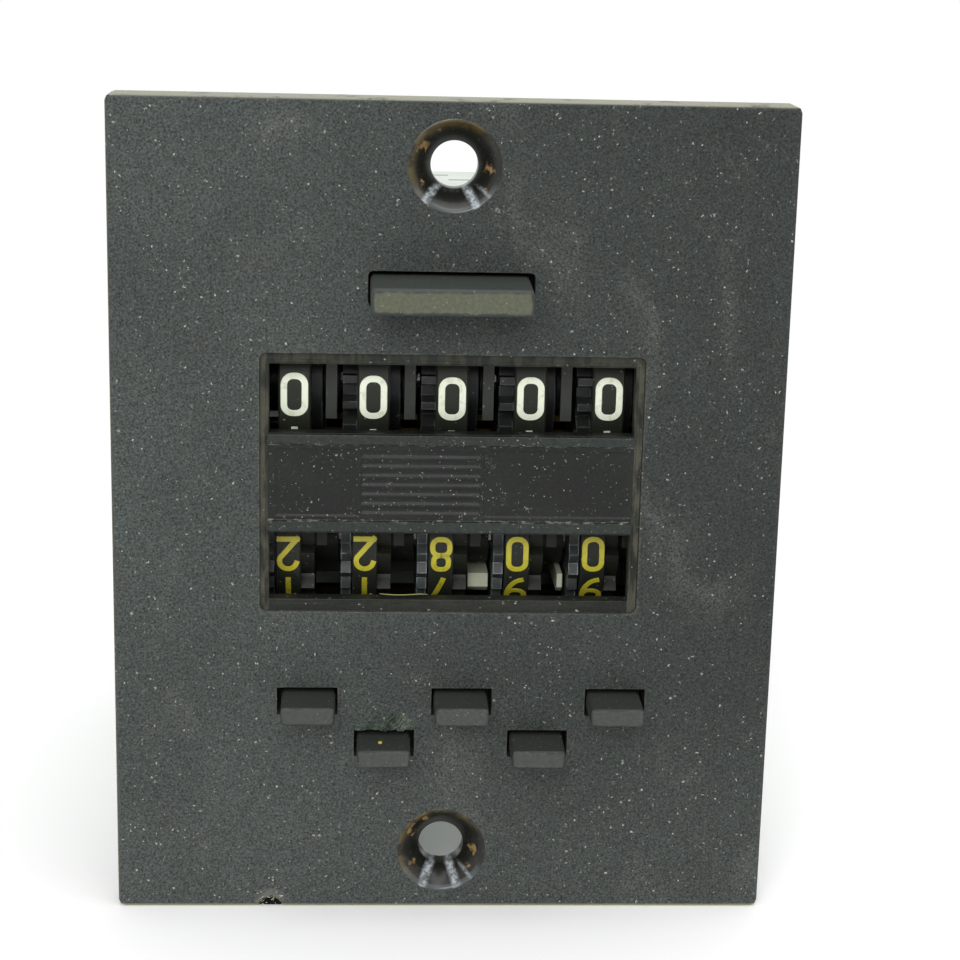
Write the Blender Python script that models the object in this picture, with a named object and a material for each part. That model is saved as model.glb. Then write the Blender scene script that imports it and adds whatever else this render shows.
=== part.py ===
"""Panel counter with five count wheels, five preset wheels, their keys and a reset key.

The model is in metres with +Z up. The front plate stands upright and faces -Y, and the casing lies
behind it. Inside this file a place is given by three numbers: x, to the right of the plate's centre,
depth, behind the plate's front face, and height, above the plate's centre.
"""

import math

import bmesh
import bpy
from mathutils import Matrix, Vector

MM = 0.001

# Clearances
SEAT_GAP = 0.3 * MM
RUNNING_GAP = 0.2 * MM
UNION_LAP = 0.1 * MM

# Front plate
PLATE_WIDTH = 60.0 * MM
PLATE_HEIGHT = 75.0 * MM
PLATE_THICKNESS = 3.5 * MM
PLATE_CORNER_RADIUS = 0.6 * MM
PLATE_EDGE_BREAK = 0.25 * MM
SCREW_HOLE_INSET = 5.7 * MM
SCREW_HOLE_RADIUS = 2.2 * MM
COUNTERSINK_RADIUS = 4.0 * MM
COLLAR_THICKNESS = 1.2 * MM
COLLAR_DEPTH = 4.5 * MM
COLLAR_HEIGHT = 40.0 * MM
COVER_GROOVE_DEPTH = 0.5 * MM

# Casing
CASE_SIZE = 49.5 * MM
CASE_WALL = 1.2 * MM
CASE_REAR_WALL = 1.5 * MM
CASE_REAR_DEPTH = 58.0 * MM
CASE_CORNER_RADIUS = 1.4 * MM
VENT_WIDTH = 2.0 * MM
VENT_LENGTH = 9.0 * MM
VENT_PITCH = 12.0 * MM
VENT_ROW_SETBACKS = (3.0 * MM, 7.2 * MM)
VENT_FIRST_END = 1.4 * MM
VENTS_PER_ROW = 3

# Count wheels: white digits, upper row
WHEEL_COUNT = 5
COUNT_WHEEL_RADIUS = 8.2 * MM
COUNT_RIM_WIDTH = 2.9 * MM
COUNT_PITCH = 7.07 * MM
COUNT_ROW_X = 0.27 * MM
COUNT_AXIS_HEIGHT = 10.9 * MM
COUNT_FRONT_GAP = 2.7 * MM
COUNT_LAG_ANGLE = math.radians(1.2)

# Preset wheels: yellow digits, lower row
PRESET_WHEEL_RADIUS = 6.5 * MM
PRESET_RIM_WIDTH = 2.3 * MM
PRESET_PITCH = 7.04 * MM
PRESET_ROW_X = -0.38 * MM
ROW_GAP = 0.6 * MM
RATCHET_TEETH = 20
RATCHET_WIDTH = 0.9 * MM
RATCHET_STEP = 0.25 * MM
RATCHET_TOOTH_HEIGHT = 0.65 * MM
RATCHET_GROOVE = 0.15 * MM
DIGIT_STEPS = 10
PRESET_STAR_WIDTH = 1.25 * MM
PRESET_STAR_STEP = 0.2 * MM
STAR_TOOTH_HEIGHT = 1.3 * MM
PRESET_HUB_RADIUS = 2.4 * MM

# Gears between neighbouring count wheels
GEAR_TEETH = 20
PINION_TEETH = 8
GEAR_WIDTH = 1.3 * MM
GEAR_STEP = 0.7 * MM
GEAR_ADDENDUM = 0.938
GEAR_DEDENDUM = 1.25
PINION_ADDENDUM = 0.666
PINION_DEDENDUM = 1.448
GEAR_TIP_SHARE = 0.418
GEAR_ROOT_SHARE = 0.538
PINION_TIP_SHARE = 0.14
PINION_ROOT_SHARE = 0.353
PINION_DIRECTION = math.radians(-35.0)
LOCKING_DISC_WIDTH = 1.05 * MM
LOCKING_DISC_STEP = 0.8 * MM
LUG_HALF_ANGLE = math.radians(5.0)
LUG_ANGLE = math.radians(18.0)
HEART_WIDTH = 1.1 * MM
HEART_GAP = 0.25 * MM
COUNT_HUB_RADIUS = 2.0 * MM
WHEEL_END_GAP = 0.25 * MM

# Drive star of the first count wheel and the pallet fork around it
DRIVE_STAR_RADIUS = 6.5 * MM
DRIVE_STAR_WIDTH = 1.0 * MM
DRIVE_STAR_OFFSET = 2.5 * MM
FORK_THICKNESS = 0.8 * MM
FORK_CLEARANCE = 0.9 * MM
FORK_WIDTH = 1.7 * MM
FORK_LOW_ANGLE = math.radians(-20.0)
FORK_HIGH_ANGLE = math.radians(50.0)

# Shafts
WHEEL_SHAFT_RADIUS = 1.25 * MM
PINION_SHAFT_RADIUS = 0.8 * MM
LEVER_SHAFT_RADIUS = 1.0 * MM
SHAFT_OVERHANG = 0.9 * MM
GUIDE_BELOW_KEYS = 1.8 * MM
GUIDE_ABOVE_KEYS = 2.6 * MM
TIE_BAR_BELOW_STEM = 2.0 * MM

# Window and its insert
WINDOW_LEFT = -16.85 * MM
WINDOW_RIGHT = 17.3 * MM
WINDOW_MARGIN = 1.05 * MM
WINDOW_POCKET_DEPTH = 2.3 * MM
WINDOW_LEDGE = 0.6 * MM
INSERT_FRONT_DEPTH = 0.5 * MM
INSERT_GAP = 0.2 * MM
INSERT_BORDER = 0.6 * MM
OPENING_HEIGHT = 6.24 * MM
UPPER_OPENING_LIFT = 0.15 * MM
LOWER_OPENING_LIFT = 0.03 * MM
STRIP_HEIGHT = 1.05 * MM
STRIP_PROUD = 0.25 * MM
GROOVE_COUNT = 7
GROOVE_DEPTH = 0.25 * MM
GROOVE_LEFT = -7.9 * MM
GROOVE_RIGHT = 2.9 * MM

# Reset key and its rake
RESET_SLOT_WIDTH = 14.6 * MM
RESET_SLOT_HEIGHT = 3.1 * MM
RESET_SLOT_TOP = 22.6 * MM
RESET_SLOT_X = -0.07 * MM
RESET_KEY_WIDTH = 14.0 * MM
RESET_KEY_HEIGHT = 2.45 * MM
RESET_KEY_SHIFT = -0.15 * MM
RESET_PROUD = 6.8 * MM
RESET_TRAVEL = 2.8 * MM
RAKE_THICKNESS = 0.6 * MM
RAKE_HALF_WIDTH = 18.4 * MM
RAKE_FINGER_WIDTH = 1.03 * MM
RAKE_FINGER_OFFSET = 3.3 * MM
RAKE_FINGER_DROP = 2.4 * MM
STEM_SIZE = 1.5 * MM

# Preset keys
KEY_PITCH = 7.06 * MM
KEY_ROW_X = 1.58 * MM
KEY_SLOT_WIDTH = 5.5 * MM
KEY_SLOT_HEIGHT = 2.6 * MM
KEY_UPPER_DROP = 6.25 * MM
KEY_ROW_STEP = 4.05 * MM
KEY_WIDTH = 4.95 * MM
KEY_HEIGHT = 1.8 * MM
KEY_PROUD = 4.2 * MM
KEY_TRAVEL = 3.0 * MM
KEY_SHIFTS = (0.12 * MM, -0.06 * MM, -0.12 * MM, -0.10 * MM, -0.15 * MM)
KEY_EDGE_BREAK = 0.2 * MM
KEY_CORNER_RADIUS = 0.35 * MM
KEY_DRAFT = 0.06 * MM
KEY_FLANGE_MARGIN = 0.65 * MM
KEY_FLANGE_THICKNESS = 1.1 * MM
KEY_WEB_THICKNESS = 1.2 * MM
KEY_TAIL_WIDTH = 1.1 * MM
KEY_TAIL_HEIGHT = 1.5 * MM
KEY_SHOULDER_HALF = 1.6 * MM
KEY_NOSE_LENGTH = 2.5 * MM
KEY_NOSE_GAP = 0.25 * MM
KEY_NOSE_SLOPE = 1.5 * MM
KEY_SHOULDER_LENGTH = 2.0 * MM
TAIL_OVERRUN = 2.5 * MM

# Springs
SPRING_WIRE_RADIUS = 0.22 * MM
SPRING_MEAN_RADIUS = 1.4 * MM
SPRING_TURNS = 5
SPRING_STEPS_PER_TURN = 6
PRESET_SPRING_ROOM = 10.0 * MM
RESET_SPRING_ROOM = 11.2 * MM

# Side frames and the bars between them
FRAME_THICKNESS = 1.1 * MM
FRAME_HALF_HEIGHT = 22.2 * MM
FRAME_CORNER_CUT = 4.0 * MM
BAR_THICKNESS = 1.5 * MM
TIE_BAR_DEPTH = 22.2 * MM
KEY_GUIDE_DEPTH = 27.0 * MM
REAR_PLATE_THICKNESS = 1.2 * MM
REAR_PLATE_HALF_HEIGHT = 20.5 * MM
REAR_PLATE_SETBACK = 2.9 * MM
BUTTON_RADIUS = 1.0 * MM
BUTTON_HEIGHT = 16.5 * MM

# Coil, yoke and armature
COIL_X = -8.0 * MM
COIL_HEIGHT = 6.0 * MM
COIL_FRONT_DEPTH = 28.6 * MM
BOBBIN_FLANGE_RADIUS = 9.0 * MM
BOBBIN_FLANGE_THICKNESS = 1.2 * MM
BOBBIN_TUBE_RADIUS = 4.7 * MM
WINDING_RADIUS = 8.3 * MM
CORE_RADIUS = 3.4 * MM
CORE_TENON_RADIUS = 2.0 * MM
YOKE_THICKNESS = 1.7 * MM
YOKE_HALF_WIDTH = 9.0 * MM
YOKE_BELOW_COIL = 9.0 * MM
ARMATURE_THICKNESS = 1.5 * MM
ARMATURE_HALF_WIDTH = 7.0 * MM
ARMATURE_AIR_GAP = 1.4 * MM
ARMATURE_ANGLE = math.radians(4.0)
ARMATURE_TAIL_RISE = 4.2 * MM
ARMATURE_TAIL_HALF_WIDTH = 1.5 * MM
HOOK_SETBACK = 8.1 * MM
HOOK_THICKNESS = 1.2 * MM
HINGE_DROP = 1.1 * MM
YOKE_ABOVE_COIL = 3.0 * MM

# Sensing lever and switch
LEVER_SHAFT_DEPTH = 21.5 * MM
LEVER_SHAFT_DROP = 3.6 * MM
LEVER_HUB_RADIUS = 2.2 * MM
LEVER_TAB_FRONT = 8.0 * MM
LEVER_TAB_HEIGHT = 1.9 * MM
LEVER_ANGLE = math.radians(4.0)
LEVER_LEFT = -2.0 * MM
LEVER_RIGHT = 12.0 * MM
SWITCH_LEFT = 5.5 * MM
SWITCH_WIDTH = 6.5 * MM
SWITCH_REAR_GAP = 1.1 * MM
SWITCH_ABOVE_SHAFT = 2.5 * MM
PLUNGER_INSET = 2.0 * MM
CONTACT_SHARES = (0.2, 0.5, 0.8)
SWITCH_HEIGHT = 10.0 * MM
SWITCH_FRONT_DEPTH = 31.0 * MM
PLUNGER_SIZE = 1.6 * MM
PLUNGER_PROUD = 0.8 * MM
PLUNGER_LENGTH = 2.6 * MM
CONTACT_THICKNESS = 0.5 * MM
CONTACT_WIDTH = 2.4 * MM
CONTACT_LENGTH = 3.5 * MM
BRACKET_THICKNESS = 1.0 * MM
BRACKET_FOOT = 5.0 * MM

# Terminals and cover screws
TERMINAL_COUNT = 6
TERMINAL_PITCH = 5.0 * MM
BLADE_THICKNESS = 0.8 * MM
BLADE_HEIGHT = 4.8 * MM
BLADE_REACH = 8.5 * MM
BASE_HALF_WIDTH = 16.5 * MM
BASE_HALF_HEIGHT = 6.0 * MM
BASE_PROUD = 1.0 * MM
COVER_SCREW_INSET = 6.5 * MM
COVER_SCREW_RADIUS = 1.4 * MM
COVER_SCREW_HEAD_RADIUS = 2.8 * MM
COVER_SCREW_HEAD_HEIGHT = 1.6 * MM

# Chip in the plate's bottom edge, measured from the plate's centre line and bottom edge
CHIP_X = -15.9 * MM
CHIP_WIDTH = 2.6 * MM
CHIP_HEIGHT = 1.15 * MM
CHIP_DEPTH = 1.1 * MM

# Sizes worked out from the ones above
REAR_REACH = CASE_REAR_DEPTH + BLADE_REACH
FRONT_Y = (RESET_PROUD - REAR_REACH) / 2
CASE_HALF = CASE_SIZE / 2
CASE_INNER_HALF = CASE_HALF - CASE_WALL
COLLAR_OUTER_X = CASE_INNER_HALF - SEAT_GAP
FRAME_OUTER_X = COLLAR_OUTER_X - COLLAR_THICKNESS - SEAT_GAP
FRAME_INNER_X = FRAME_OUTER_X - FRAME_THICKNESS
BAR_HALF_WIDTH = FRAME_INNER_X - SEAT_GAP
BEHIND_PLATE = PLATE_THICKNESS + SEAT_GAP
COVER_FRONT_DEPTH = PLATE_THICKNESS - COVER_GROOVE_DEPTH + SEAT_GAP
COVER_INNER_RADIUS = CASE_CORNER_RADIUS - CASE_WALL / 2
AXIS_DEPTH = COUNT_FRONT_GAP + COUNT_WHEEL_RADIUS
PRESET_AXIS_HEIGHT = COUNT_AXIS_HEIGHT - COUNT_WHEEL_RADIUS - PRESET_WHEEL_RADIUS - ROW_GAP

GEAR_TIP_RADIUS = COUNT_WHEEL_RADIUS - GEAR_STEP
MODULE = GEAR_TIP_RADIUS / (GEAR_TEETH / 2 + GEAR_ADDENDUM)
GEAR_ROOT_RADIUS = MODULE * (GEAR_TEETH / 2 - GEAR_DEDENDUM)
PINION_TIP_RADIUS = MODULE * (PINION_TEETH / 2 + PINION_ADDENDUM)
PINION_ROOT_RADIUS = MODULE * (PINION_TEETH / 2 - PINION_DEDENDUM)
TOOTH_PITCH = MODULE * math.pi
CENTRE_DISTANCE = MODULE * (GEAR_TEETH + PINION_TEETH) / 2
PINION_DEPTH = AXIS_DEPTH + CENTRE_DISTANCE * math.cos(PINION_DIRECTION)
PINION_HEIGHT = COUNT_AXIS_HEIGHT + CENTRE_DISTANCE * math.sin(PINION_DIRECTION)
LUG_RADIUS = CENTRE_DISTANCE - PINION_TIP_RADIUS - RUNNING_GAP
HEART_LEFT = COUNT_RIM_WIDTH / 2 + LOCKING_DISC_WIDTH + HEART_GAP
COUNT_WHEEL_LEFT = -COUNT_RIM_WIDTH / 2 - GEAR_WIDTH
COUNT_WHEEL_RIGHT = COUNT_PITCH + COUNT_WHEEL_LEFT - WHEEL_END_GAP
RAKE_FRONT = BEHIND_PLATE
HEART_HIGH_RADIUS = AXIS_DEPTH - (RAKE_FRONT + RAKE_THICKNESS + RESET_TRAVEL) - RUNNING_GAP
HEART_LOW_RADIUS = COUNT_HUB_RADIUS + UNION_LAP

UPPER_OPENING_HEIGHT = COUNT_AXIS_HEIGHT + UPPER_OPENING_LIFT
LOWER_OPENING_HEIGHT = PRESET_AXIS_HEIGHT + LOWER_OPENING_LIFT
WINDOW_TOP = UPPER_OPENING_HEIGHT + OPENING_HEIGHT / 2 + WINDOW_MARGIN
WINDOW_BOTTOM = LOWER_OPENING_HEIGHT - OPENING_HEIGHT / 2 - WINDOW_MARGIN
INSERT_REAR_DEPTH = WINDOW_POCKET_DEPTH - SEAT_GAP
RESET_HEIGHT = RESET_SLOT_TOP - RESET_SLOT_HEIGHT / 2
PRESET_WHEEL_BOTTOM = PRESET_AXIS_HEIGHT - PRESET_WHEEL_RADIUS
KEY_ROW_HEIGHTS = (PRESET_WHEEL_BOTTOM - KEY_UPPER_DROP,
                   PRESET_WHEEL_BOTTOM - KEY_UPPER_DROP - KEY_ROW_STEP)
KEY_NOSE_TOP = PRESET_WHEEL_BOTTOM - KEY_NOSE_GAP
KEY_FLANGE_REAR = BEHIND_PLATE + KEY_FLANGE_THICKNESS
KEY_SHOULDER_DEPTH = KEY_GUIDE_DEPTH - PRESET_SPRING_ROOM
KEY_TAIL_REAR = KEY_GUIDE_DEPTH + BAR_THICKNESS + TAIL_OVERRUN

REAR_PLATE_DEPTH = CASE_REAR_DEPTH - CASE_REAR_WALL - REAR_PLATE_SETBACK - REAR_PLATE_THICKNESS
COIL_REAR_DEPTH = REAR_PLATE_DEPTH - SEAT_GAP - YOKE_THICKNESS - SEAT_GAP
YOKE_REAR = REAR_PLATE_DEPTH - SEAT_GAP
YOKE_TOP = COIL_HEIGHT + BOBBIN_FLANGE_RADIUS + YOKE_ABOVE_COIL
HOOK_DEPTH = YOKE_REAR - HOOK_SETBACK
HINGE_DEPTH = COIL_FRONT_DEPTH - ARMATURE_AIR_GAP
HINGE_HEIGHT = YOKE_TOP - HINGE_DROP
ARMATURE_REAR = HINGE_DEPTH - SEAT_GAP
ARMATURE_FRONT = ARMATURE_REAR - ARMATURE_THICKNESS
LEVER_SHAFT_HEIGHT = PRESET_AXIS_HEIGHT - LEVER_SHAFT_DROP
SWITCH_BOTTOM = LEVER_SHAFT_HEIGHT + SWITCH_ABOVE_SHAFT
SWITCH_REAR_DEPTH = YOKE_REAR - SWITCH_REAR_GAP
BASE_FRONT_DEPTH = REAR_PLATE_DEPTH + REAR_PLATE_THICKNESS + SEAT_GAP
COVER_SCREW_PLACES = ((-CASE_HALF + COVER_SCREW_INSET, -CASE_HALF + COVER_SCREW_INSET),
                      (CASE_HALF - COVER_SCREW_INSET, CASE_HALF - COVER_SCREW_INSET))

# Finishes: base colour, roughness and metallic
BLACK_PLASTIC = ((0.060, 0.068, 0.064), 0.50, 0.0)
KEY_PLASTIC = ((0.045, 0.052, 0.047), 0.42, 0.0)
WORN_KEY_PLASTIC = ((0.120, 0.130, 0.100), 0.55, 0.0)
WHEEL_PLASTIC = ((0.035, 0.038, 0.032), 0.48, 0.0)
RATCHET_PLASTIC = ((0.075, 0.085, 0.072), 0.50, 0.0)
CREAM_PLASTIC = ((0.62, 0.60, 0.45), 0.55, 0.0)
CASE_PLASTIC = ((0.62, 0.65, 0.62), 0.45, 0.0)
BROWN_BOARD = ((0.16, 0.08, 0.035), 0.55, 0.0)
STEEL = ((0.48, 0.48, 0.46), 0.35, 1.0)
SPRING_STEEL = ((0.40, 0.40, 0.40), 0.30, 1.0)
BRASS = ((0.62, 0.46, 0.20), 0.32, 1.0)
COPPER = ((0.55, 0.22, 0.10), 0.38, 1.0)


def at(x, depth, height):
    """World place of a point given from the plate's centre."""
    return Vector((x, FRONT_Y + depth, PLATE_HEIGHT / 2 + height))


def circle(radius, sides, centre=(0.0, 0.0), phase=0.0):
    """Regular polygon around a circle, anticlockwise."""
    steps = [phase + 2 * math.pi * k / sides for k in range(sides)]
    return [(centre[0] + radius * math.cos(a), centre[1] + radius * math.sin(a)) for a in steps]


def rectangle(left, right, low, high, radius=0.0, steps=2):
    """Rectangle with rounded corners, anticlockwise."""
    if radius == 0.0:
        return [(left, low), (right, low), (right, high), (left, high)]
    corners = ((right - radius, low + radius, -math.pi / 2), (right - radius, high - radius, 0.0),
               (left + radius, high - radius, math.pi / 2), (left + radius, low + radius, math.pi))
    points = []
    for a, b, start in corners:
        for k in range(steps + 1):
            angle = start + math.pi / 2 * k / steps
            points.append((a + radius * math.cos(angle), b + radius * math.sin(angle)))
    return points


def gear_outline(teeth, tip, root, tip_half, root_half, phase):
    """Outline of straight-sided teeth; the halves are half widths of a tooth at its tip and root."""
    points = []
    for k in range(teeth):
        centre = phase + 2 * math.pi * k / teeth
        for radius, half in ((root, -root_half), (tip, -tip_half), (tip, tip_half), (root, root_half)):
            angle = centre + half / radius
            points.append((radius * math.cos(angle), radius * math.sin(angle)))
    return points


def saw_outline(teeth, tip, root, phase, lean=0.12):
    """Outline of a ratchet: each tooth falls steeply on one side and slopes on the other."""
    points = []
    for k in range(teeth):
        step = 2 * math.pi / teeth
        for radius, angle in ((tip, phase + k * step), (root, phase + (k + lean) * step)):
            points.append((radius * math.cos(angle), radius * math.sin(angle)))
    return points


def heart_outline(low, high, sides, phase):
    """Heart cam: the radius grows evenly with the angle from its notch, on both sides."""
    points = []
    for k in range(sides):
        turn = 2 * math.pi * k / sides
        share = 1 - abs(1 - turn / math.pi)
        radius = low + (high - low) * share
        points.append((radius * math.cos(phase + turn), radius * math.sin(phase + turn)))
    return points


def lug_disc_outline(disc, lug, sides, phase):
    """Locking disc with the two lugs that carry to the next wheel."""
    angles = {2 * math.pi * k / sides for k in range(sides)}
    edge = math.radians(0.5)
    for centre in (-LUG_ANGLE, LUG_ANGLE):
        low, high = centre - LUG_HALF_ANGLE, centre + LUG_HALF_ANGLE
        angles = {a for a in angles if not low - edge < (a + math.pi) % (2 * math.pi) - math.pi < high + edge}
        angles |= {low, low + edge, high - edge, high}
    points = []
    for angle in sorted((a + math.pi) % (2 * math.pi) - math.pi for a in angles):
        raised = any(abs(angle - c) < LUG_HALF_ANGLE - edge / 2 for c in (-LUG_ANGLE, LUG_ANGLE))
        radius = lug if raised else disc
        points.append((radius * math.cos(angle + phase), radius * math.sin(angle + phase)))
    return points


def solid(name, rings):
    """Closed solid through rings of points, with flat ends."""
    mesh_builder = bmesh.new()
    loops = [[mesh_builder.verts.new(point) for point in ring] for ring in rings]
    size = len(rings[0])
    for near, far in zip(loops, loops[1:]):
        for k in range(size):
            after = (k + 1) % size
            mesh_builder.faces.new((near[k], near[after], far[after], far[k]))
    mesh_builder.faces.new(loops[0])
    mesh_builder.faces.new(loops[-1])
    return settle_mesh(name, mesh_builder)


def settle_mesh(name, mesh_builder):
    """Turn a mesh's faces outwards and link it as an object."""
    bmesh.ops.recalc_face_normals(mesh_builder, faces=mesh_builder.faces)
    mesh = bpy.data.meshes.new(name)
    mesh_builder.to_mesh(mesh)
    mesh_builder.free()
    item = bpy.data.objects.new(name, mesh)
    bpy.context.collection.objects.link(item)
    return item


def lift(axis, pair, along):
    """Point from two coordinates in a plane and one along the plane's axis."""
    a, b = pair
    return {"X": (along, a, b), "Y": (a, along, b), "Z": (a, b, along)}[axis]


def prism(name, axis, outline, low, high):
    """Outline carried straight along an axis."""
    return solid(name, [[lift(axis, pair, along) for pair in outline] for along in (low, high)])


def turned(name, profile, sides, centre, start_angle=0.0):
    """Ring turned around a line along Y; the profile is a closed loop of radius and depth."""
    mesh_builder = bmesh.new()
    loops = []
    for k in range(sides):
        angle = start_angle + 2 * math.pi * k / sides
        loops.append([mesh_builder.verts.new((centre[0] + r * math.cos(angle), depth,
                                              centre[1] + r * math.sin(angle))) for r, depth in profile])
    size = len(profile)
    for k in range(sides):
        near, far = loops[k], loops[(k + 1) % sides]
        for j in range(size):
            after = (j + 1) % size
            mesh_builder.faces.new((near[j], near[after], far[after], far[j]))
    return settle_mesh(name, mesh_builder)


def combine(target, operation, *tools):
    """Add tools to a solid or cut them from it, one after another."""
    for tool in tools:
        modifier = target.modifiers.new(tool.name, "BOOLEAN")
        modifier.operation = operation
        modifier.solver = "EXACT"
        modifier.object = tool
        evaluated = target.evaluated_get(bpy.context.evaluated_depsgraph_get())
        result = bpy.data.meshes.new_from_object(evaluated)
        target.modifiers.clear()
        target.data = result
        bpy.data.objects.remove(tool)
    return target


def dress(item, finish):
    """Give a solid its own material, with round faces shaded smooth."""
    colour, roughness, metallic = finish
    material = bpy.data.materials.new(item.name)
    material.use_nodes = True
    shader = material.node_tree.nodes["Principled BSDF"]
    shader.inputs["Base Color"].default_value = (*colour, 1.0)
    shader.inputs["Roughness"].default_value = roughness
    shader.inputs["Metallic"].default_value = metallic
    item.data.materials.clear()
    item.data.materials.append(material)
    item.data.shade_smooth()
    item.data.set_sharp_from_angle(angle=math.radians(28.0))


def finish_piece(item, name, finish, origin=(0.0, 0.0, 0.0)):
    """Name a solid, put its origin at a point of the piece and place it in the world."""
    item.name = name
    item.data.name = name
    item.data.transform(Matrix.Translation(-Vector(origin)))
    item.location = at(*origin)
    dress(item, finish)
    return item


def place_copy(mesh, name, finish, origin, turn=0.0):
    """Object with its own copy of a mesh that is modelled around its axis, turned about X."""
    item = bpy.data.objects.new(name, mesh.copy())
    bpy.context.collection.objects.link(item)
    item.location = at(*origin)
    item.rotation_euler = (turn, 0.0, 0.0)
    dress(item, finish)
    return item


def row_places(middle, pitch):
    """Places of the five columns of a row, from left to right."""
    return [middle + (k - (WHEEL_COUNT - 1) / 2) * pitch for k in range(WHEEL_COUNT)]


COUNT_X = row_places(COUNT_ROW_X, COUNT_PITCH)
PRESET_X = row_places(PRESET_ROW_X, PRESET_PITCH)
KEY_X = row_places(KEY_ROW_X, KEY_PITCH)


def chip_cutter():
    """Broken-out bite in the plate's bottom edge, deeper in its middle."""
    bottom = -PLATE_HEIGHT / 2
    shares = ((-0.5, -0.3), (0.5, -0.3), (0.42, 0.55), (0.05, 1.0), (-0.38, 0.6))
    rings = []
    for depth, shrink in ((-UNION_LAP, 1.0), (CHIP_DEPTH * 0.6, 0.8), (CHIP_DEPTH, 0.35)):
        rings.append([(CHIP_X + a * CHIP_WIDTH * shrink, depth,
                       bottom + (b if b < 0 else b * shrink) * CHIP_HEIGHT) for a, b in shares])
    return solid("chip", rings)


def front_plate():
    """Moulded plate with its window, slots, countersunk holes and two side collars."""
    half_width, half_height = PLATE_WIDTH / 2, PLATE_HEIGHT / 2
    full = rectangle(-half_width, half_width, -half_height, half_height, PLATE_CORNER_RADIUS)
    edge = PLATE_EDGE_BREAK
    face = rectangle(-half_width + edge, half_width - edge, -half_height + edge, half_height - edge,
                     PLATE_CORNER_RADIUS)
    sections = ((0.0, face), (edge, full), (PLATE_THICKNESS, full))
    plate = solid("plate", [[(a, depth, b) for a, b in outline] for depth, outline in sections])
    rear = PLATE_THICKNESS + UNION_LAP
    for side in (-1, 1):
        inner, outer = sorted((side * COLLAR_OUTER_X, side * (COLLAR_OUTER_X - COLLAR_THICKNESS)))
        collar = prism("collar", "Y", rectangle(inner, outer, -COLLAR_HEIGHT / 2, COLLAR_HEIGHT / 2),
                       PLATE_THICKNESS - UNION_LAP, PLATE_THICKNESS + COLLAR_DEPTH)
        combine(plate, "UNION", collar)
    pocket = rectangle(WINDOW_LEFT, WINDOW_RIGHT, WINDOW_BOTTOM, WINDOW_TOP, 0.5 * MM)
    through = rectangle(WINDOW_LEFT + WINDOW_LEDGE, WINDOW_RIGHT - WINDOW_LEDGE, WINDOW_BOTTOM, WINDOW_TOP)
    combine(plate, "DIFFERENCE",
            prism("pocket", "Y", pocket, -UNION_LAP, WINDOW_POCKET_DEPTH),
            prism("through", "Y", through, -UNION_LAP, rear))
    slots = [rectangle(RESET_SLOT_X - RESET_SLOT_WIDTH / 2, RESET_SLOT_X + RESET_SLOT_WIDTH / 2,
                       RESET_HEIGHT - RESET_SLOT_HEIGHT / 2, RESET_HEIGHT + RESET_SLOT_HEIGHT / 2,
                       KEY_CORNER_RADIUS)]
    for k, x in enumerate(KEY_X):
        height = KEY_ROW_HEIGHTS[k % 2]
        slots.append(rectangle(x - KEY_SLOT_WIDTH / 2, x + KEY_SLOT_WIDTH / 2,
                               height - KEY_SLOT_HEIGHT / 2, height + KEY_SLOT_HEIGHT / 2))
    cutters = [prism("slot", "Y", outline, -UNION_LAP, rear) for outline in slots]
    cone_depth = COUNTERSINK_RADIUS - SCREW_HOLE_RADIUS
    for side in (-1, 1):
        centre = (0.0, side * (half_height - SCREW_HOLE_INSET))
        sections = ((-UNION_LAP, COUNTERSINK_RADIUS + UNION_LAP), (cone_depth, SCREW_HOLE_RADIUS),
                    (rear, SCREW_HOLE_RADIUS))
        cutters.append(solid("screw_hole", [[(a, depth, b) for a, b in circle(radius, 24, centre)]
                                            for depth, radius in sections]))
    for side in (-1, 1):
        for centre in button_places():
            ends = sorted((side * (COLLAR_OUTER_X + UNION_LAP), side * FRAME_OUTER_X))
            cutters.append(prism("hole", "X", circle(BUTTON_RADIUS + RUNNING_GAP, 10, centre), *ends))
    cutters += [cover_groove(), chip_cutter()]
    combine(plate, "DIFFERENCE", *cutters)
    finish_piece(plate, "front_plate", BLACK_PLASTIC)


def cover_groove():
    """Ring cut in the plate's rear face, where the cover's front edge sits inside the panel seat."""
    outer, inner = CASE_HALF + SEAT_GAP, CASE_INNER_HALF - SEAT_GAP
    floor, rear = PLATE_THICKNESS - COVER_GROOVE_DEPTH, PLATE_THICKNESS + UNION_LAP
    ring = prism("ring", "Y", rectangle(-outer, outer, -outer, outer, CASE_CORNER_RADIUS + SEAT_GAP, 3),
                 floor, rear)
    island = prism("island", "Y",
                   rectangle(-inner, inner, -inner, inner, COVER_INNER_RADIUS - SEAT_GAP, 3),
                   floor - UNION_LAP, rear + UNION_LAP)
    combine(ring, "DIFFERENCE", island)
    return ring


def button_places():
    """Depth and height of the side frames' round buttons, in the middle of the collars."""
    return [(PLATE_THICKNESS + COLLAR_DEPTH / 2, height) for height in (-BUTTON_HEIGHT, BUTTON_HEIGHT)]


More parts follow.
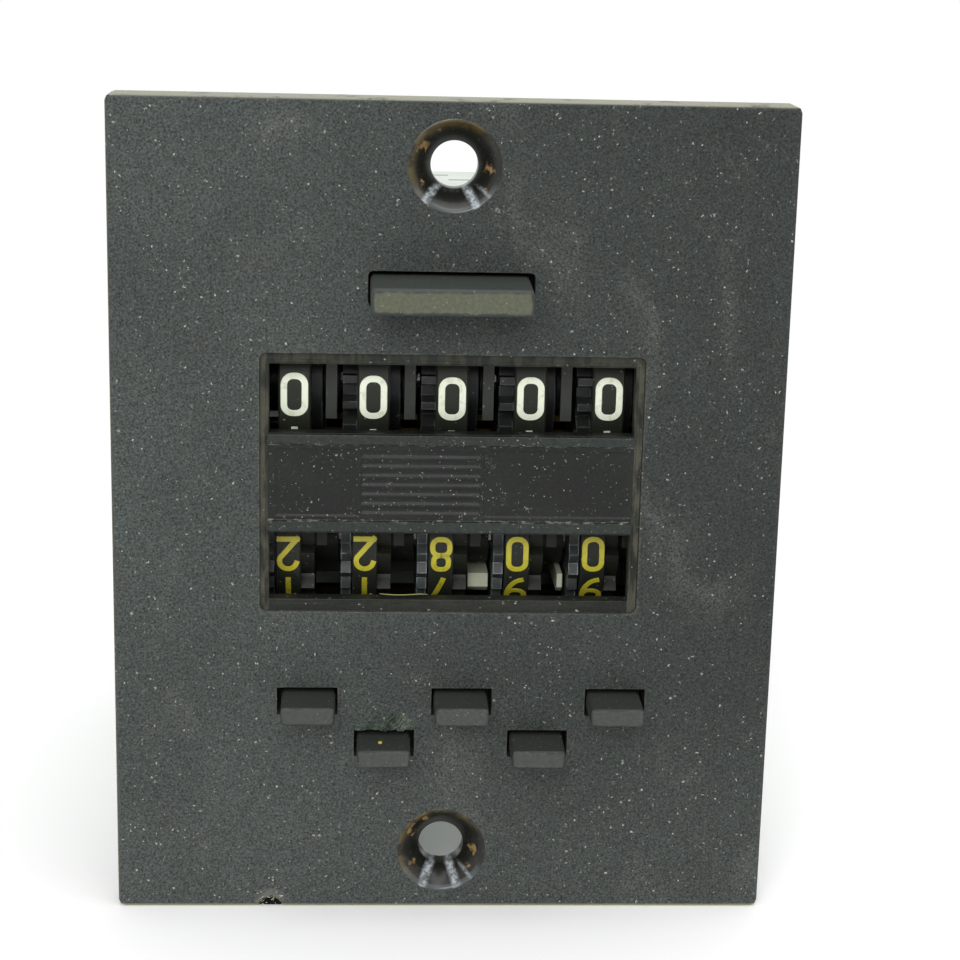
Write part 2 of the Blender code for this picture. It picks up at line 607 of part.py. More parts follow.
def window_frame():
    """Insert in the window: two openings, and a bar with raised strips and fine grooves."""
    left, right = WINDOW_LEFT + INSERT_GAP, WINDOW_RIGHT - INSERT_GAP
    low, high = WINDOW_BOTTOM + INSERT_GAP, WINDOW_TOP - INSERT_GAP
    insert = prism("insert", "Y", rectangle(left, right, low, high, 0.4 * MM),
                   INSERT_FRONT_DEPTH, INSERT_REAR_DEPTH)
    bar_top = UPPER_OPENING_HEIGHT - OPENING_HEIGHT / 2
    bar_bottom = LOWER_OPENING_HEIGHT + OPENING_HEIGHT / 2
    inner_left, inner_right = left + INSERT_BORDER, right - INSERT_BORDER
    lap = UNION_LAP
    for height, radius in ((UPPER_OPENING_HEIGHT, 0.3 * MM), (LOWER_OPENING_HEIGHT, 0.6 * MM)):
        opening = rectangle(inner_left, inner_right, height - OPENING_HEIGHT / 2,
                            height + OPENING_HEIGHT / 2, radius)
        combine(insert, "DIFFERENCE", prism("opening", "Y", opening, INSERT_FRONT_DEPTH - lap,
                                            INSERT_REAR_DEPTH + lap))
    inset = UNION_LAP / 2
    for bottom in (bar_bottom + inset, bar_top - STRIP_HEIGHT - inset):
        strip = rectangle(inner_left + lap, inner_right - lap, bottom, bottom + STRIP_HEIGHT)
        combine(insert, "UNION", prism("strip", "Y", strip, INSERT_FRONT_DEPTH - STRIP_PROUD,
                                       INSERT_FRONT_DEPTH + lap))
    field_low, field_high = bar_bottom + STRIP_HEIGHT + inset, bar_top - STRIP_HEIGHT - inset
    pitch = (field_high - field_low) / GROOVE_COUNT
    for k in range(GROOVE_COUNT):
        bottom = field_low + (k + 0.25) * pitch
        groove = rectangle(GROOVE_LEFT, GROOVE_RIGHT, bottom, bottom + pitch / 2)
        combine(insert, "DIFFERENCE",
                prism("groove", "Y", groove, INSERT_FRONT_DEPTH - lap, INSERT_FRONT_DEPTH + GROOVE_DEPTH))
    finish_piece(insert, "window_frame", BLACK_PLASTIC)


def key_cap(x, height, width, tall, proud):
    """Cap that stands out of its slot, a little smaller at its front, with broken front edges."""
    sections = ((-proud, KEY_DRAFT + KEY_EDGE_BREAK), (-proud + KEY_EDGE_BREAK, KEY_DRAFT),
                (BEHIND_PLATE + UNION_LAP, 0.0))
    rings = []
    for depth, inset in sections:
        outline = rectangle(x - width / 2 + inset, x + width / 2 - inset,
                            height - tall / 2 + inset, height + tall / 2 - inset, KEY_CORNER_RADIUS)
        rings.append([(a, depth, b) for a, b in outline])
    return solid("cap", rings)


def preset_key(number, x, height, shift):
    """Preset key: cap, retaining flange, web with its pawl nose, shoulder and guided tail."""
    key = key_cap(x + shift, height, KEY_WIDTH, KEY_HEIGHT, KEY_PROUD)
    margin = KEY_FLANGE_MARGIN
    flange = rectangle(x - KEY_WIDTH / 2 - margin, x + KEY_WIDTH / 2 + margin,
                       height - KEY_HEIGHT / 2 - margin, height + KEY_HEIGHT / 2 + margin)
    nose_rear = AXIS_DEPTH + KEY_NOSE_LENGTH / 2
    nose_front = AXIS_DEPTH - KEY_NOSE_LENGTH / 2
    web = [(KEY_FLANGE_REAR - UNION_LAP, height - KEY_HEIGHT / 2),
           (KEY_SHOULDER_DEPTH - KEY_SHOULDER_LENGTH, height - KEY_HEIGHT / 2),
           (KEY_SHOULDER_DEPTH - KEY_SHOULDER_LENGTH, height - KEY_SHOULDER_HALF),
           (KEY_SHOULDER_DEPTH, height - KEY_SHOULDER_HALF),
           (KEY_SHOULDER_DEPTH, height + KEY_SHOULDER_HALF),
           (nose_rear + 0.8 * KEY_NOSE_SLOPE, KEY_NOSE_TOP - 1.3 * KEY_NOSE_SLOPE),
           (nose_rear, KEY_NOSE_TOP),
           (nose_front, KEY_NOSE_TOP),
           (nose_front - KEY_NOSE_SLOPE, KEY_NOSE_TOP - KEY_NOSE_SLOPE),
           (KEY_FLANGE_REAR - UNION_LAP, height + KEY_HEIGHT / 2)]
    tail = rectangle(KEY_SHOULDER_DEPTH - UNION_LAP, KEY_TAIL_REAR,
                     height - KEY_TAIL_HEIGHT / 2, height + KEY_TAIL_HEIGHT / 2)
    combine(key, "UNION",
            prism("flange", "Y", flange, BEHIND_PLATE, KEY_FLANGE_REAR),
            prism("web", "X", web, x - KEY_WEB_THICKNESS / 2, x + KEY_WEB_THICKNESS / 2),
            prism("tail", "X", tail, x - KEY_TAIL_WIDTH / 2, x + KEY_TAIL_WIDTH / 2))
    finish_piece(key, f"preset_key_{number}", KEY_PLASTIC, (x, 0.0, height))


def spring(name, x, height, start, end):
    """Coil spring along Y, a round wire wound evenly between two depths."""
    steps = SPRING_TURNS * SPRING_STEPS_PER_TURN
    first, last = start + SPRING_WIRE_RADIUS, end - SPRING_WIRE_RADIUS
    rings = []
    for k in range(steps + 1):
        angle = 2 * math.pi * k / SPRING_STEPS_PER_TURN
        depth = first + (last - first) * k / steps
        ring = []
        for radial, axial in circle(SPRING_WIRE_RADIUS, 4):
            radius = SPRING_MEAN_RADIUS + radial
            ring.append((x + radius * math.cos(angle), depth + axial, height + radius * math.sin(angle)))
        rings.append(ring)
    finish_piece(solid("spring", rings), name, SPRING_STEEL, (x, start, height))


def reset_key():
    """Reset key: cap, flange behind the rake, and a stem to the upper tie bar."""
    x, height = RESET_SLOT_X, RESET_HEIGHT
    key = key_cap(x + RESET_KEY_SHIFT, height, RESET_KEY_WIDTH, RESET_KEY_HEIGHT, RESET_PROUD)
    flange_front = RAKE_FRONT + RAKE_THICKNESS + SEAT_GAP
    flange = rectangle(x - RESET_KEY_WIDTH / 2 - 1.2 * MM, x + RESET_KEY_WIDTH / 2 + 1.2 * MM,
                       height - RESET_SLOT_HEIGHT / 2 - 0.5 * MM, height + RESET_SLOT_HEIGHT / 2 + 0.5 * MM)
    neck = rectangle(x - RESET_KEY_WIDTH / 2 + 1 * MM, x + RESET_KEY_WIDTH / 2 - 1 * MM,
                     height - RESET_KEY_HEIGHT / 2 + 0.2 * MM, height + RESET_KEY_HEIGHT / 2 - 0.2 * MM)
    block = rectangle(x - 2 * MM, x + 2 * MM, height - 1.3 * MM, height + 1.3 * MM)
    stem = rectangle(x - STEM_SIZE / 2, x + STEM_SIZE / 2, height - STEM_SIZE / 2, height + STEM_SIZE / 2)
    combine(key, "UNION",
            prism("neck", "Y", neck, BEHIND_PLATE - UNION_LAP, flange_front + UNION_LAP),
            prism("flange", "Y", flange, flange_front, flange_front + 1 * MM),
            prism("block", "Y", block, flange_front + 0.9 * MM, reset_shoulder_depth()),
            prism("stem", "Y", stem, reset_shoulder_depth() - UNION_LAP,
                  TIE_BAR_DEPTH + BAR_THICKNESS + STEM_SIZE))
    finish_piece(key, "reset_key", WORN_KEY_PLASTIC, (x, 0.0, height))


def reset_shoulder_depth():
    """Depth of the shoulder that the reset spring pushes on."""
    return TIE_BAR_DEPTH - RESET_SPRING_ROOM


def reset_rake():
    """Steel rake on the reset key: a bar with one finger beside each count wheel."""
    gap = SEAT_GAP
    top = CASE_INNER_HALF - SEAT_GAP
    bottom = COUNT_AXIS_HEIGHT + COUNT_WHEEL_RADIUS - 0.5 * MM
    rear = RAKE_FRONT + RAKE_THICKNESS
    rake = prism("rake", "Y", rectangle(-RAKE_HALF_WIDTH, RAKE_HALF_WIDTH, bottom, top), RAKE_FRONT, rear)
    x = RESET_SLOT_X + RESET_KEY_SHIFT
    hole = rectangle(x - RESET_KEY_WIDTH / 2 - gap, x + RESET_KEY_WIDTH / 2 + gap,
                     RESET_HEIGHT - RESET_KEY_HEIGHT / 2 - gap, RESET_HEIGHT + RESET_KEY_HEIGHT / 2 + gap)
    combine(rake, "DIFFERENCE", prism("hole", "Y", hole, RAKE_FRONT - UNION_LAP, rear + UNION_LAP))
    for column in COUNT_X:
        centre = column + RAKE_FINGER_OFFSET
        finger = rectangle(centre - RAKE_FINGER_WIDTH / 2, centre + RAKE_FINGER_WIDTH / 2,
                           COUNT_AXIS_HEIGHT - RAKE_FINGER_DROP, bottom + UNION_LAP)
        combine(rake, "UNION", prism("finger", "Y", finger, RAKE_FRONT, rear))
    finish_piece(rake, "reset_rake", STEEL, (RESET_SLOT_X, RAKE_FRONT, RESET_HEIGHT))


def count_wheel_mesh(first):
    """Count wheel around its axis: rim, gear or drive star, locking disc with lugs, heart cam and hub."""
    half = COUNT_RIM_WIDTH / 2
    lap = UNION_LAP
    wheel = prism("rim", "X", circle(COUNT_WHEEL_RADIUS, 36), -half, half)
    if first:
        star_left = -half - DRIVE_STAR_OFFSET
        star = saw_outline(DIGIT_STEPS, DRIVE_STAR_RADIUS, DRIVE_STAR_RADIUS - STAR_TOOTH_HEIGHT, 0.0, 0.5)
        parts = [prism("star", "X", star, star_left, star_left + DRIVE_STAR_WIDTH),
                 prism("left_hub", "X", circle(COUNT_HUB_RADIUS, 12),
                        star_left + DRIVE_STAR_WIDTH - lap, -half + lap)]
    else:
        gear = gear_outline(GEAR_TEETH, GEAR_TIP_RADIUS, GEAR_ROOT_RADIUS, TOOTH_PITCH * GEAR_TIP_SHARE / 2,
                            TOOTH_PITCH * GEAR_ROOT_SHARE / 2, PINION_DIRECTION + math.pi / GEAR_TEETH)
        parts = [prism("gear", "X", gear, COUNT_WHEEL_LEFT, -half + lap)]
    disc = lug_disc_outline(LUG_RADIUS - LOCKING_DISC_STEP, LUG_RADIUS, 28, math.pi / 2)
    heart = heart_outline(HEART_LOW_RADIUS, HEART_HIGH_RADIUS, 20, math.pi)
    parts += [prism("disc", "X", disc, half - lap, half + LOCKING_DISC_WIDTH),
              prism("heart", "X", heart, HEART_LEFT, HEART_LEFT + HEART_WIDTH),
              prism("hub", "X", circle(COUNT_HUB_RADIUS, 12),
                     half + LOCKING_DISC_WIDTH - lap, COUNT_WHEEL_RIGHT)]
    combine(wheel, "UNION", *parts)
    bore = prism("bore", "X", circle(WHEEL_SHAFT_RADIUS + RUNNING_GAP, 12), -COUNT_PITCH, COUNT_PITCH)
    combine(wheel, "DIFFERENCE", bore)
    return take_mesh(wheel)


def take_mesh(item):
    """Mesh of a helper object, which is removed."""
    mesh = item.data
    bpy.data.objects.remove(item)
    return mesh


def preset_wheel_mesh():
    """Preset wheel around its axis: ratchet ring, rim, ten-tooth star and hub."""
    half = PRESET_RIM_WIDTH / 2
    lap = UNION_LAP
    ring_tip = PRESET_WHEEL_RADIUS - RATCHET_STEP
    ring = saw_outline(RATCHET_TEETH, ring_tip, ring_tip - RATCHET_TOOTH_HEIGHT, 0.0, 0.45)
    star_tip = PRESET_WHEEL_RADIUS - PRESET_STAR_STEP
    star = saw_outline(DIGIT_STEPS, star_tip, star_tip - STAR_TOOTH_HEIGHT, math.pi, 0.15)
    groove_right = -half + lap
    ring_right = -half - RATCHET_GROOVE
    star_right = half + PRESET_STAR_WIDTH
    hub_right = PRESET_PITCH - half - RATCHET_GROOVE - RATCHET_WIDTH - WHEEL_END_GAP
    wheel = prism("rim", "X", circle(PRESET_WHEEL_RADIUS, 36), -half, half)
    combine(wheel, "UNION",
            prism("groove", "X", circle(ring_tip - 2 * RATCHET_TOOTH_HEIGHT, 16),
                  ring_right - lap, groove_right),
            prism("ring", "X", ring, ring_right - RATCHET_WIDTH, ring_right),
            prism("star", "X", star, half - lap, star_right),
            prism("hub", "X", circle(PRESET_HUB_RADIUS, 12), star_right - lap, hub_right))
    bore = prism("bore", "X", circle(WHEEL_SHAFT_RADIUS + RUNNING_GAP, 12), -PRESET_PITCH, PRESET_PITCH)
    combine(wheel, "DIFFERENCE", bore)
    return take_mesh(wheel)


def pinion_mesh():
    """Transfer pinion around its axis: eight teeth on the gear's side, four on the locking disc's side."""
    left = COUNT_RIM_WIDTH / 2 + RUNNING_GAP
    right = COUNT_PITCH - COUNT_RIM_WIDTH / 2 - RUNNING_GAP
    step = COUNT_RIM_WIDTH / 2 + LOCKING_DISC_WIDTH + HEART_GAP
    tip_half, root_half = TOOTH_PITCH * PINION_TIP_SHARE / 2, TOOTH_PITCH * PINION_ROOT_SHARE / 2
    phase = PINION_DIRECTION + math.pi
    full = gear_outline(PINION_TEETH, PINION_TIP_RADIUS, PINION_ROOT_RADIUS, tip_half, root_half, phase)
    half = gear_outline(PINION_TEETH // 2, PINION_TIP_RADIUS, PINION_ROOT_RADIUS, tip_half, root_half, phase)
    pinion = prism("full", "X", full, step, right)
    combine(pinion, "UNION", prism("half", "X", half, left, step + UNION_LAP))
    bore = prism("bore", "X", circle(PINION_SHAFT_RADIUS + RUNNING_GAP, 8), 0.0, COUNT_PITCH)
    combine(pinion, "DIFFERENCE", bore)
    return take_mesh(pinion)


def wheels():
    """Both rows of wheels and the pinions between the count wheels."""
    drive, geared = count_wheel_mesh(True), count_wheel_mesh(False)
    preset, pinion = preset_wheel_mesh(), pinion_mesh()
    for k in range(WHEEL_COUNT):
        mesh, turn = (drive, -COUNT_LAG_ANGLE) if k == 0 else (geared, 0.0)
        place_copy(mesh, f"count_wheel_{k + 1}", WHEEL_PLASTIC,
                   (COUNT_X[k], AXIS_DEPTH, COUNT_AXIS_HEIGHT), turn)
        place_copy(preset, f"preset_wheel_{k + 1}", RATCHET_PLASTIC,
                   (PRESET_X[k], AXIS_DEPTH, PRESET_AXIS_HEIGHT))
    for k in range(WHEEL_COUNT - 1):
        place_copy(pinion, f"transfer_pinion_{k + 1}", BRASS, (COUNT_X[k], PINION_DEPTH, PINION_HEIGHT))


def shafts():
    """Four steel shafts between the side frames."""
    reach = FRAME_OUTER_X + SHAFT_OVERHANG
    for name, radius, sides, centre in shaft_places():
        rod = prism("rod", "X", circle(radius, sides, centre), -reach, reach)
        finish_piece(rod, name, STEEL, (0.0, *centre))


def shaft_places():
    """Name, radius, number of faces and centre of each shaft."""
    return (("count_shaft", WHEEL_SHAFT_RADIUS, 12, (AXIS_DEPTH, COUNT_AXIS_HEIGHT)),
            ("preset_shaft", WHEEL_SHAFT_RADIUS, 12, (AXIS_DEPTH, PRESET_AXIS_HEIGHT)),
            ("pinion_shaft", PINION_SHAFT_RADIUS, 8, (PINION_DEPTH, PINION_HEIGHT)),
            ("lever_shaft", LEVER_SHAFT_RADIUS, 10, (LEVER_SHAFT_DEPTH, LEVER_SHAFT_HEIGHT)))


def side_frames():
    """Two steel cheeks with shaft holes, a large opening and buttons that snap into the plate's collars."""
    front, rear, half, cut = BEHIND_PLATE, YOKE_REAR, FRAME_HALF_HEIGHT, FRAME_CORNER_CUT
    outline = [(front, -half + cut), (front + cut, -half), (rear - cut, -half), (rear, -half + cut),
               (rear, half - cut), (rear - cut, half), (front + cut, half), (front, half - cut)]
    opening = rectangle(LEVER_SHAFT_DEPTH + 9 * MM, YOKE_REAR - 5 * MM, -half + 9 * MM,
                        half - 9 * MM, 3 * MM, 3)
    for name, side in (("side_frame_left", -1), ("side_frame_right", 1)):
        low, high = sorted((side * FRAME_INNER_X, side * FRAME_OUTER_X))
        cheek = prism("cheek", "X", outline, low, high)
        cutters = [prism("opening", "X", opening, low - UNION_LAP, high + UNION_LAP)]
        for _, radius, sides, centre in shaft_places():
            hole = circle(radius + RUNNING_GAP, sides, centre)
            cutters.append(prism("hole", "X", hole, low - UNION_LAP, high + UNION_LAP))
        combine(cheek, "DIFFERENCE", *cutters)
        for centre in button_places():
            ends = sorted((side * (FRAME_OUTER_X - UNION_LAP), side * (COLLAR_OUTER_X - SEAT_GAP)))
            combine(cheek, "UNION", prism("button", "X", circle(BUTTON_RADIUS, 10, centre), *ends))
        finish_piece(cheek, name, STEEL)


def tie_bars():
    """Upper tie bar, key guide and rear tie plate, which join the side frames."""
    half = BAR_HALF_WIDTH
    lap = UNION_LAP
    bar = prism("bar", "Y", rectangle(-half, half, RESET_HEIGHT - TIE_BAR_BELOW_STEM, FRAME_HALF_HEIGHT),
                TIE_BAR_DEPTH, TIE_BAR_DEPTH + BAR_THICKNESS)
    hole = STEM_SIZE / 2 + SEAT_GAP
    opening = rectangle(RESET_SLOT_X - hole, RESET_SLOT_X + hole, RESET_HEIGHT - hole, RESET_HEIGHT + hole)
    combine(bar, "DIFFERENCE", prism("hole", "Y", opening, TIE_BAR_DEPTH - lap,
                                     TIE_BAR_DEPTH + BAR_THICKNESS + lap))
    finish_piece(bar, "upper_tie_bar", STEEL)

    guide_low = KEY_ROW_HEIGHTS[1] - GUIDE_BELOW_KEYS
    guide_high = KEY_ROW_HEIGHTS[0] + GUIDE_ABOVE_KEYS
    guide = prism("guide", "Y", rectangle(-half, half, guide_low, guide_high),
                  KEY_GUIDE_DEPTH, KEY_GUIDE_DEPTH + BAR_THICKNESS)
    for k, x in enumerate(KEY_X):
        height = KEY_ROW_HEIGHTS[k % 2]
        across, up = KEY_TAIL_WIDTH / 2 + SEAT_GAP, KEY_TAIL_HEIGHT / 2 + SEAT_GAP
        opening = rectangle(x - across, x + across, height - up, height + up)
        combine(guide, "DIFFERENCE",
                prism("hole", "Y", opening, KEY_GUIDE_DEPTH - lap, KEY_GUIDE_DEPTH + BAR_THICKNESS + lap))
    finish_piece(guide, "key_guide", BLACK_PLASTIC)

    rear = REAR_PLATE_DEPTH + REAR_PLATE_THICKNESS
    plate = prism("plate", "Y", rectangle(-half, half, -REAR_PLATE_HALF_HEIGHT, REAR_PLATE_HALF_HEIGHT),
                  REAR_PLATE_DEPTH, rear)
    cutters = [prism("opening", "Y", rectangle(-BASE_HALF_WIDTH + 1.5 * MM, BASE_HALF_WIDTH - 1.5 * MM,
                                               -BASE_HALF_HEIGHT + 2 * MM, BASE_HALF_HEIGHT - 2 * MM),
                     REAR_PLATE_DEPTH - lap, rear + lap)]
    for centre in COVER_SCREW_PLACES:
        cutters.append(prism("hole", "Y", circle(COVER_SCREW_RADIUS + SEAT_GAP, 10, centre),
                             REAR_PLATE_DEPTH - lap, rear + lap))
    combine(plate, "DIFFERENCE", *cutters)
    finish_piece(plate, "rear_tie_plate", STEEL)


def detent_comb():
    """Black comb behind the window bar, with one finger beside each preset wheel."""
    top = COUNT_AXIS_HEIGHT - COUNT_WHEEL_RADIUS + 0.5 * MM
    bottom = LOWER_OPENING_HEIGHT + OPENING_HEIGHT / 2 + 1.4 * MM
    rear = BEHIND_PLATE + 1.2 * MM
    comb = prism("comb", "Y", rectangle(-BAR_HALF_WIDTH, BAR_HALF_WIDTH, bottom, top), BEHIND_PLATE, rear)
    finger_left = PRESET_RIM_WIDTH / 2 + PRESET_STAR_WIDTH + RUNNING_GAP
    for column in PRESET_X:
        finger = rectangle(column + finger_left, column + finger_left + 1 * MM,
                           PRESET_AXIS_HEIGHT + 0.9 * MM, bottom + UNION_LAP)
        combine(comb, "UNION", prism("finger", "Y", finger, BEHIND_PLATE + SEAT_GAP, rear))
    finish_piece(comb, "detent_comb", BLACK_PLASTIC)


def coil_group():
    """Bobbin, winding, core and yoke of the drive magnet."""
    centre = (COIL_X, COIL_HEIGHT)
    front, rear = COIL_FRONT_DEPTH, COIL_REAR_DEPTH
    flange = BOBBIN_FLANGE_THICKNESS
    tube_inner = CORE_RADIUS + SEAT_GAP
    bobbin = turned("bobbin", [(tube_inner, front), (BOBBIN_FLANGE_RADIUS, front),
                               (BOBBIN_FLANGE_RADIUS, front + flange),
                               (BOBBIN_TUBE_RADIUS, front + flange), (BOBBIN_TUBE_RADIUS, rear - flange),
                               (BOBBIN_FLANGE_RADIUS, rear - flange), (BOBBIN_FLANGE_RADIUS, rear),
                               (tube_inner, rear)], 20, centre)
    finish_piece(bobbin, "coil_bobbin", CREAM_PLASTIC)
    wound_from, wound_to = front + flange + SEAT_GAP, rear - flange - SEAT_GAP
    winding = turned("winding", [(BOBBIN_TUBE_RADIUS + SEAT_GAP, wound_from), (WINDING_RADIUS, wound_from),
                                 (WINDING_RADIUS, wound_to),
                                 (BOBBIN_TUBE_RADIUS + SEAT_GAP, wound_to)], 20, centre)
    finish_piece(winding, "coil_winding", COPPER)
    core = prism("core", "Y", circle(CORE_RADIUS, 16, centre), front - SEAT_GAP, rear)
    tenon = prism("tenon", "Y", circle(CORE_TENON_RADIUS, 12, centre), rear - UNION_LAP, YOKE_REAR)
    combine(core, "UNION", tenon)
    finish_piece(core, "coil_core", STEEL)

    low = COIL_HEIGHT - YOKE_BELOW_COIL
    yoke_front = HINGE_DEPTH + SEAT_GAP
    inner = YOKE_REAR - YOKE_THICKNESS
    outline = [(inner, low), (YOKE_REAR, low), (YOKE_REAR, YOKE_TOP), (yoke_front, YOKE_TOP),
               (yoke_front, YOKE_TOP - YOKE_THICKNESS), (inner, YOKE_TOP - YOKE_THICKNESS)]
    yoke = prism("yoke", "X", outline, COIL_X - YOKE_HALF_WIDTH, COIL_X + YOKE_HALF_WIDTH)
    hook = rectangle(COIL_X - ARMATURE_TAIL_HALF_WIDTH, COIL_X + ARMATURE_TAIL_HALF_WIDTH,
                     YOKE_TOP - UNION_LAP, HINGE_HEIGHT + ARMATURE_TAIL_RISE)
    combine(yoke, "UNION", prism("hook", "Y", hook, HOOK_DEPTH, HOOK_DEPTH + HOOK_THICKNESS))
    combine(yoke, "DIFFERENCE", prism("hole", "Y", circle(CORE_TENON_RADIUS + SEAT_GAP, 12, centre),
                                      inner - UNION_LAP, YOKE_REAR + UNION_LAP))
    finish_piece(yoke, "yoke", STEEL)


def fork_plane():
    """Left and right faces of the pallet fork, in the drive star's plane."""
    middle = COUNT_X[0] - COUNT_RIM_WIDTH / 2 - DRIVE_STAR_OFFSET + DRIVE_STAR_WIDTH / 2
    return middle - FORK_THICKNESS / 2, middle + FORK_THICKNESS / 2


def armature():
    """Armature plate hinged at the yoke's edge, with its spring tail and the pallet fork."""
    low = COIL_HEIGHT - BOBBIN_FLANGE_RADIUS + 1 * MM
    plate = prism("plate", "Y", rectangle(COIL_X - ARMATURE_HALF_WIDTH, COIL_X + ARMATURE_HALF_WIDTH,
                                          low, HINGE_HEIGHT + SEAT_GAP), ARMATURE_FRONT, ARMATURE_REAR)
    tail = rectangle(COIL_X - ARMATURE_TAIL_HALF_WIDTH, COIL_X + ARMATURE_TAIL_HALF_WIDTH,
                     HINGE_HEIGHT, HINGE_HEIGHT + ARMATURE_TAIL_RISE)
    fork_left, fork_right = fork_plane()
    arm = rectangle(fork_left, COIL_X - ARMATURE_HALF_WIDTH + UNION_LAP,
                    COUNT_AXIS_HEIGHT - 2 * MM, COUNT_AXIS_HEIGHT + 2 * MM)
    inner_radius = DRIVE_STAR_RADIUS + FORK_CLEARANCE
    outer_radius = inner_radius + FORK_WIDTH
    sides = 7
    angles = [FORK_LOW_ANGLE + (FORK_HIGH_ANGLE - FORK_LOW_ANGLE) * k / sides for k in range(sides + 1)]
    arc = [(outer_radius, a) for a in angles] + [(inner_radius, a) for a in reversed(angles)]
    fork = [(AXIS_DEPTH + r * math.cos(a), COUNT_AXIS_HEIGHT + r * math.sin(a)) for r, a in arc]
    stalk = rectangle(AXIS_DEPTH + inner_radius + FORK_WIDTH / 2, ARMATURE_REAR,
                      COUNT_AXIS_HEIGHT - 1.5 * MM, COUNT_AXIS_HEIGHT + 1.5 * MM)
    combine(plate, "UNION",
            prism("tail", "Y", tail, ARMATURE_FRONT, ARMATURE_REAR),
            prism("arm", "Y", arm, ARMATURE_FRONT, ARMATURE_REAR),
            prism("fork", "X", fork, fork_left, fork_right),
            prism("stalk", "X", stalk, fork_left, fork_right))
    finish_piece(plate, "armature", STEEL, (COIL_X, HINGE_DEPTH, HINGE_HEIGHT))


def sensing_lever():
    """Cream lever on its shaft: two tabs towards the preset wheels and an arm under the switch."""
    centre = (LEVER_SHAFT_DEPTH, LEVER_SHAFT_HEIGHT)
    lever = prism("hub", "X", circle(LEVER_HUB_RADIUS, 12, centre), LEVER_LEFT, LEVER_RIGHT)
    tab_top = PRESET_AXIS_HEIGHT - PRESET_HUB_RADIUS - 0.4 * MM
    tab = [(LEVER_TAB_FRONT, tab_top - LEVER_TAB_HEIGHT * 0.7),
           (LEVER_TAB_FRONT + 0.8 * MM, tab_top - LEVER_TAB_HEIGHT),
           (LEVER_SHAFT_DEPTH, LEVER_SHAFT_HEIGHT - 1.6 * MM),
           (LEVER_SHAFT_DEPTH, LEVER_SHAFT_HEIGHT + 1.2 * MM),
           (AXIS_DEPTH + 4 * MM, tab_top), (LEVER_TAB_FRONT, tab_top)]
    zone_left = PRESET_RIM_WIDTH / 2 + PRESET_STAR_WIDTH + WHEEL_END_GAP
    zone_right = PRESET_PITCH - PRESET_RIM_WIDTH / 2 - RATCHET_GROOVE - RATCHET_WIDTH - WHEEL_END_GAP
    arm_top = SWITCH_BOTTOM - PLUNGER_PROUD - SEAT_GAP
    plunger = plunger_depth()
    arm = [(LEVER_SHAFT_DEPTH, LEVER_SHAFT_HEIGHT - 0.8 * MM),
           (plunger + PLUNGER_SIZE / 2, arm_top - 1.4 * MM),
           (plunger + PLUNGER_SIZE / 2, arm_top), (LEVER_SHAFT_DEPTH, arm_top)]
    combine(lever, "UNION",
            prism("wide_tab", "X", tab, PRESET_X[2] + zone_left, PRESET_X[2] + zone_right),
            prism("thin_tab", "X", tab, PRESET_X[3] + zone_right - 0.55 * MM, PRESET_X[3] + zone_right),
            prism("arm", "X", arm, plunger_x() - 1.2 * MM, plunger_x() + 1.2 * MM))
    bore = circle(LEVER_SHAFT_RADIUS + RUNNING_GAP, 10, centre)
    combine(lever, "DIFFERENCE", prism("bore", "X", bore, LEVER_LEFT - UNION_LAP, LEVER_RIGHT + UNION_LAP))
    finish_piece(lever, "sensing_lever", CREAM_PLASTIC, (PRESET_X[2], *centre))


def plunger_depth():
    """Depth of the switch's plunger."""
    return SWITCH_FRONT_DEPTH + PLUNGER_INSET


def plunger_x():
    """Place of the switch's plunger across the counter."""
    return SWITCH_LEFT + SWITCH_WIDTH / 2


def switch():
    """Small snap switch: body with its three contacts, plunger and the bracket that holds it."""
    left, right = SWITCH_LEFT, SWITCH_LEFT + SWITCH_WIDTH
    front, rear = SWITCH_FRONT_DEPTH, SWITCH_REAR_DEPTH
    low, high = SWITCH_BOTTOM, SWITCH_BOTTOM + SWITCH_HEIGHT
    x, depth = plunger_x(), plunger_depth()
    body = prism("body", "X", rectangle(front, rear, low, high, 0.5 * MM), left, right)
    well = PLUNGER_SIZE / 2 + SEAT_GAP
    well_top = low - PLUNGER_PROUD + PLUNGER_LENGTH + LEVER_ANGLE * (depth - LEVER_SHAFT_DEPTH) + SEAT_GAP
    combine(body, "DIFFERENCE", prism("well", "Z", rectangle(x - well, x + well, depth - well, depth + well),
                                      low - UNION_LAP, well_top))
    half = PLUNGER_SIZE / 2
    plunger = prism("plunger", "Z", rectangle(x - half, x + half, depth - half, depth + half, 0.3 * MM, 1),
                    low - PLUNGER_PROUD, low - PLUNGER_PROUD + PLUNGER_LENGTH)
    finish_piece(plunger, "switch_plunger", CREAM_PLASTIC, (x, depth, low))
    for share in CONTACT_SHARES:
        middle = front + share * (rear - front)
        contact = rectangle(middle - CONTACT_WIDTH / 2, middle + CONTACT_WIDTH / 2,
                            high - UNION_LAP, high + CONTACT_LENGTH)
        combine(body, "UNION", prism("contact", "X", contact, x - CONTACT_THICKNESS / 2,
                                     x + CONTACT_THICKNESS / 2))
    finish_piece(body, "switch_body", BLACK_PLASTIC)
    plate_left = right + SEAT_GAP
    plate_right = plate_left + BRACKET_THICKNESS
    outline = [(plate_left, front), (plate_right, front), (plate_right, YOKE_REAR - BRACKET_THICKNESS),
               (plate_right + BRACKET_FOOT, YOKE_REAR - BRACKET_THICKNESS),
               (plate_right + BRACKET_FOOT, YOKE_REAR),
               (plate_left, YOKE_REAR)]
    bracket = prism("bracket", "Z", outline, low, high)
    finish_piece(bracket, "switch_bracket", STEEL)


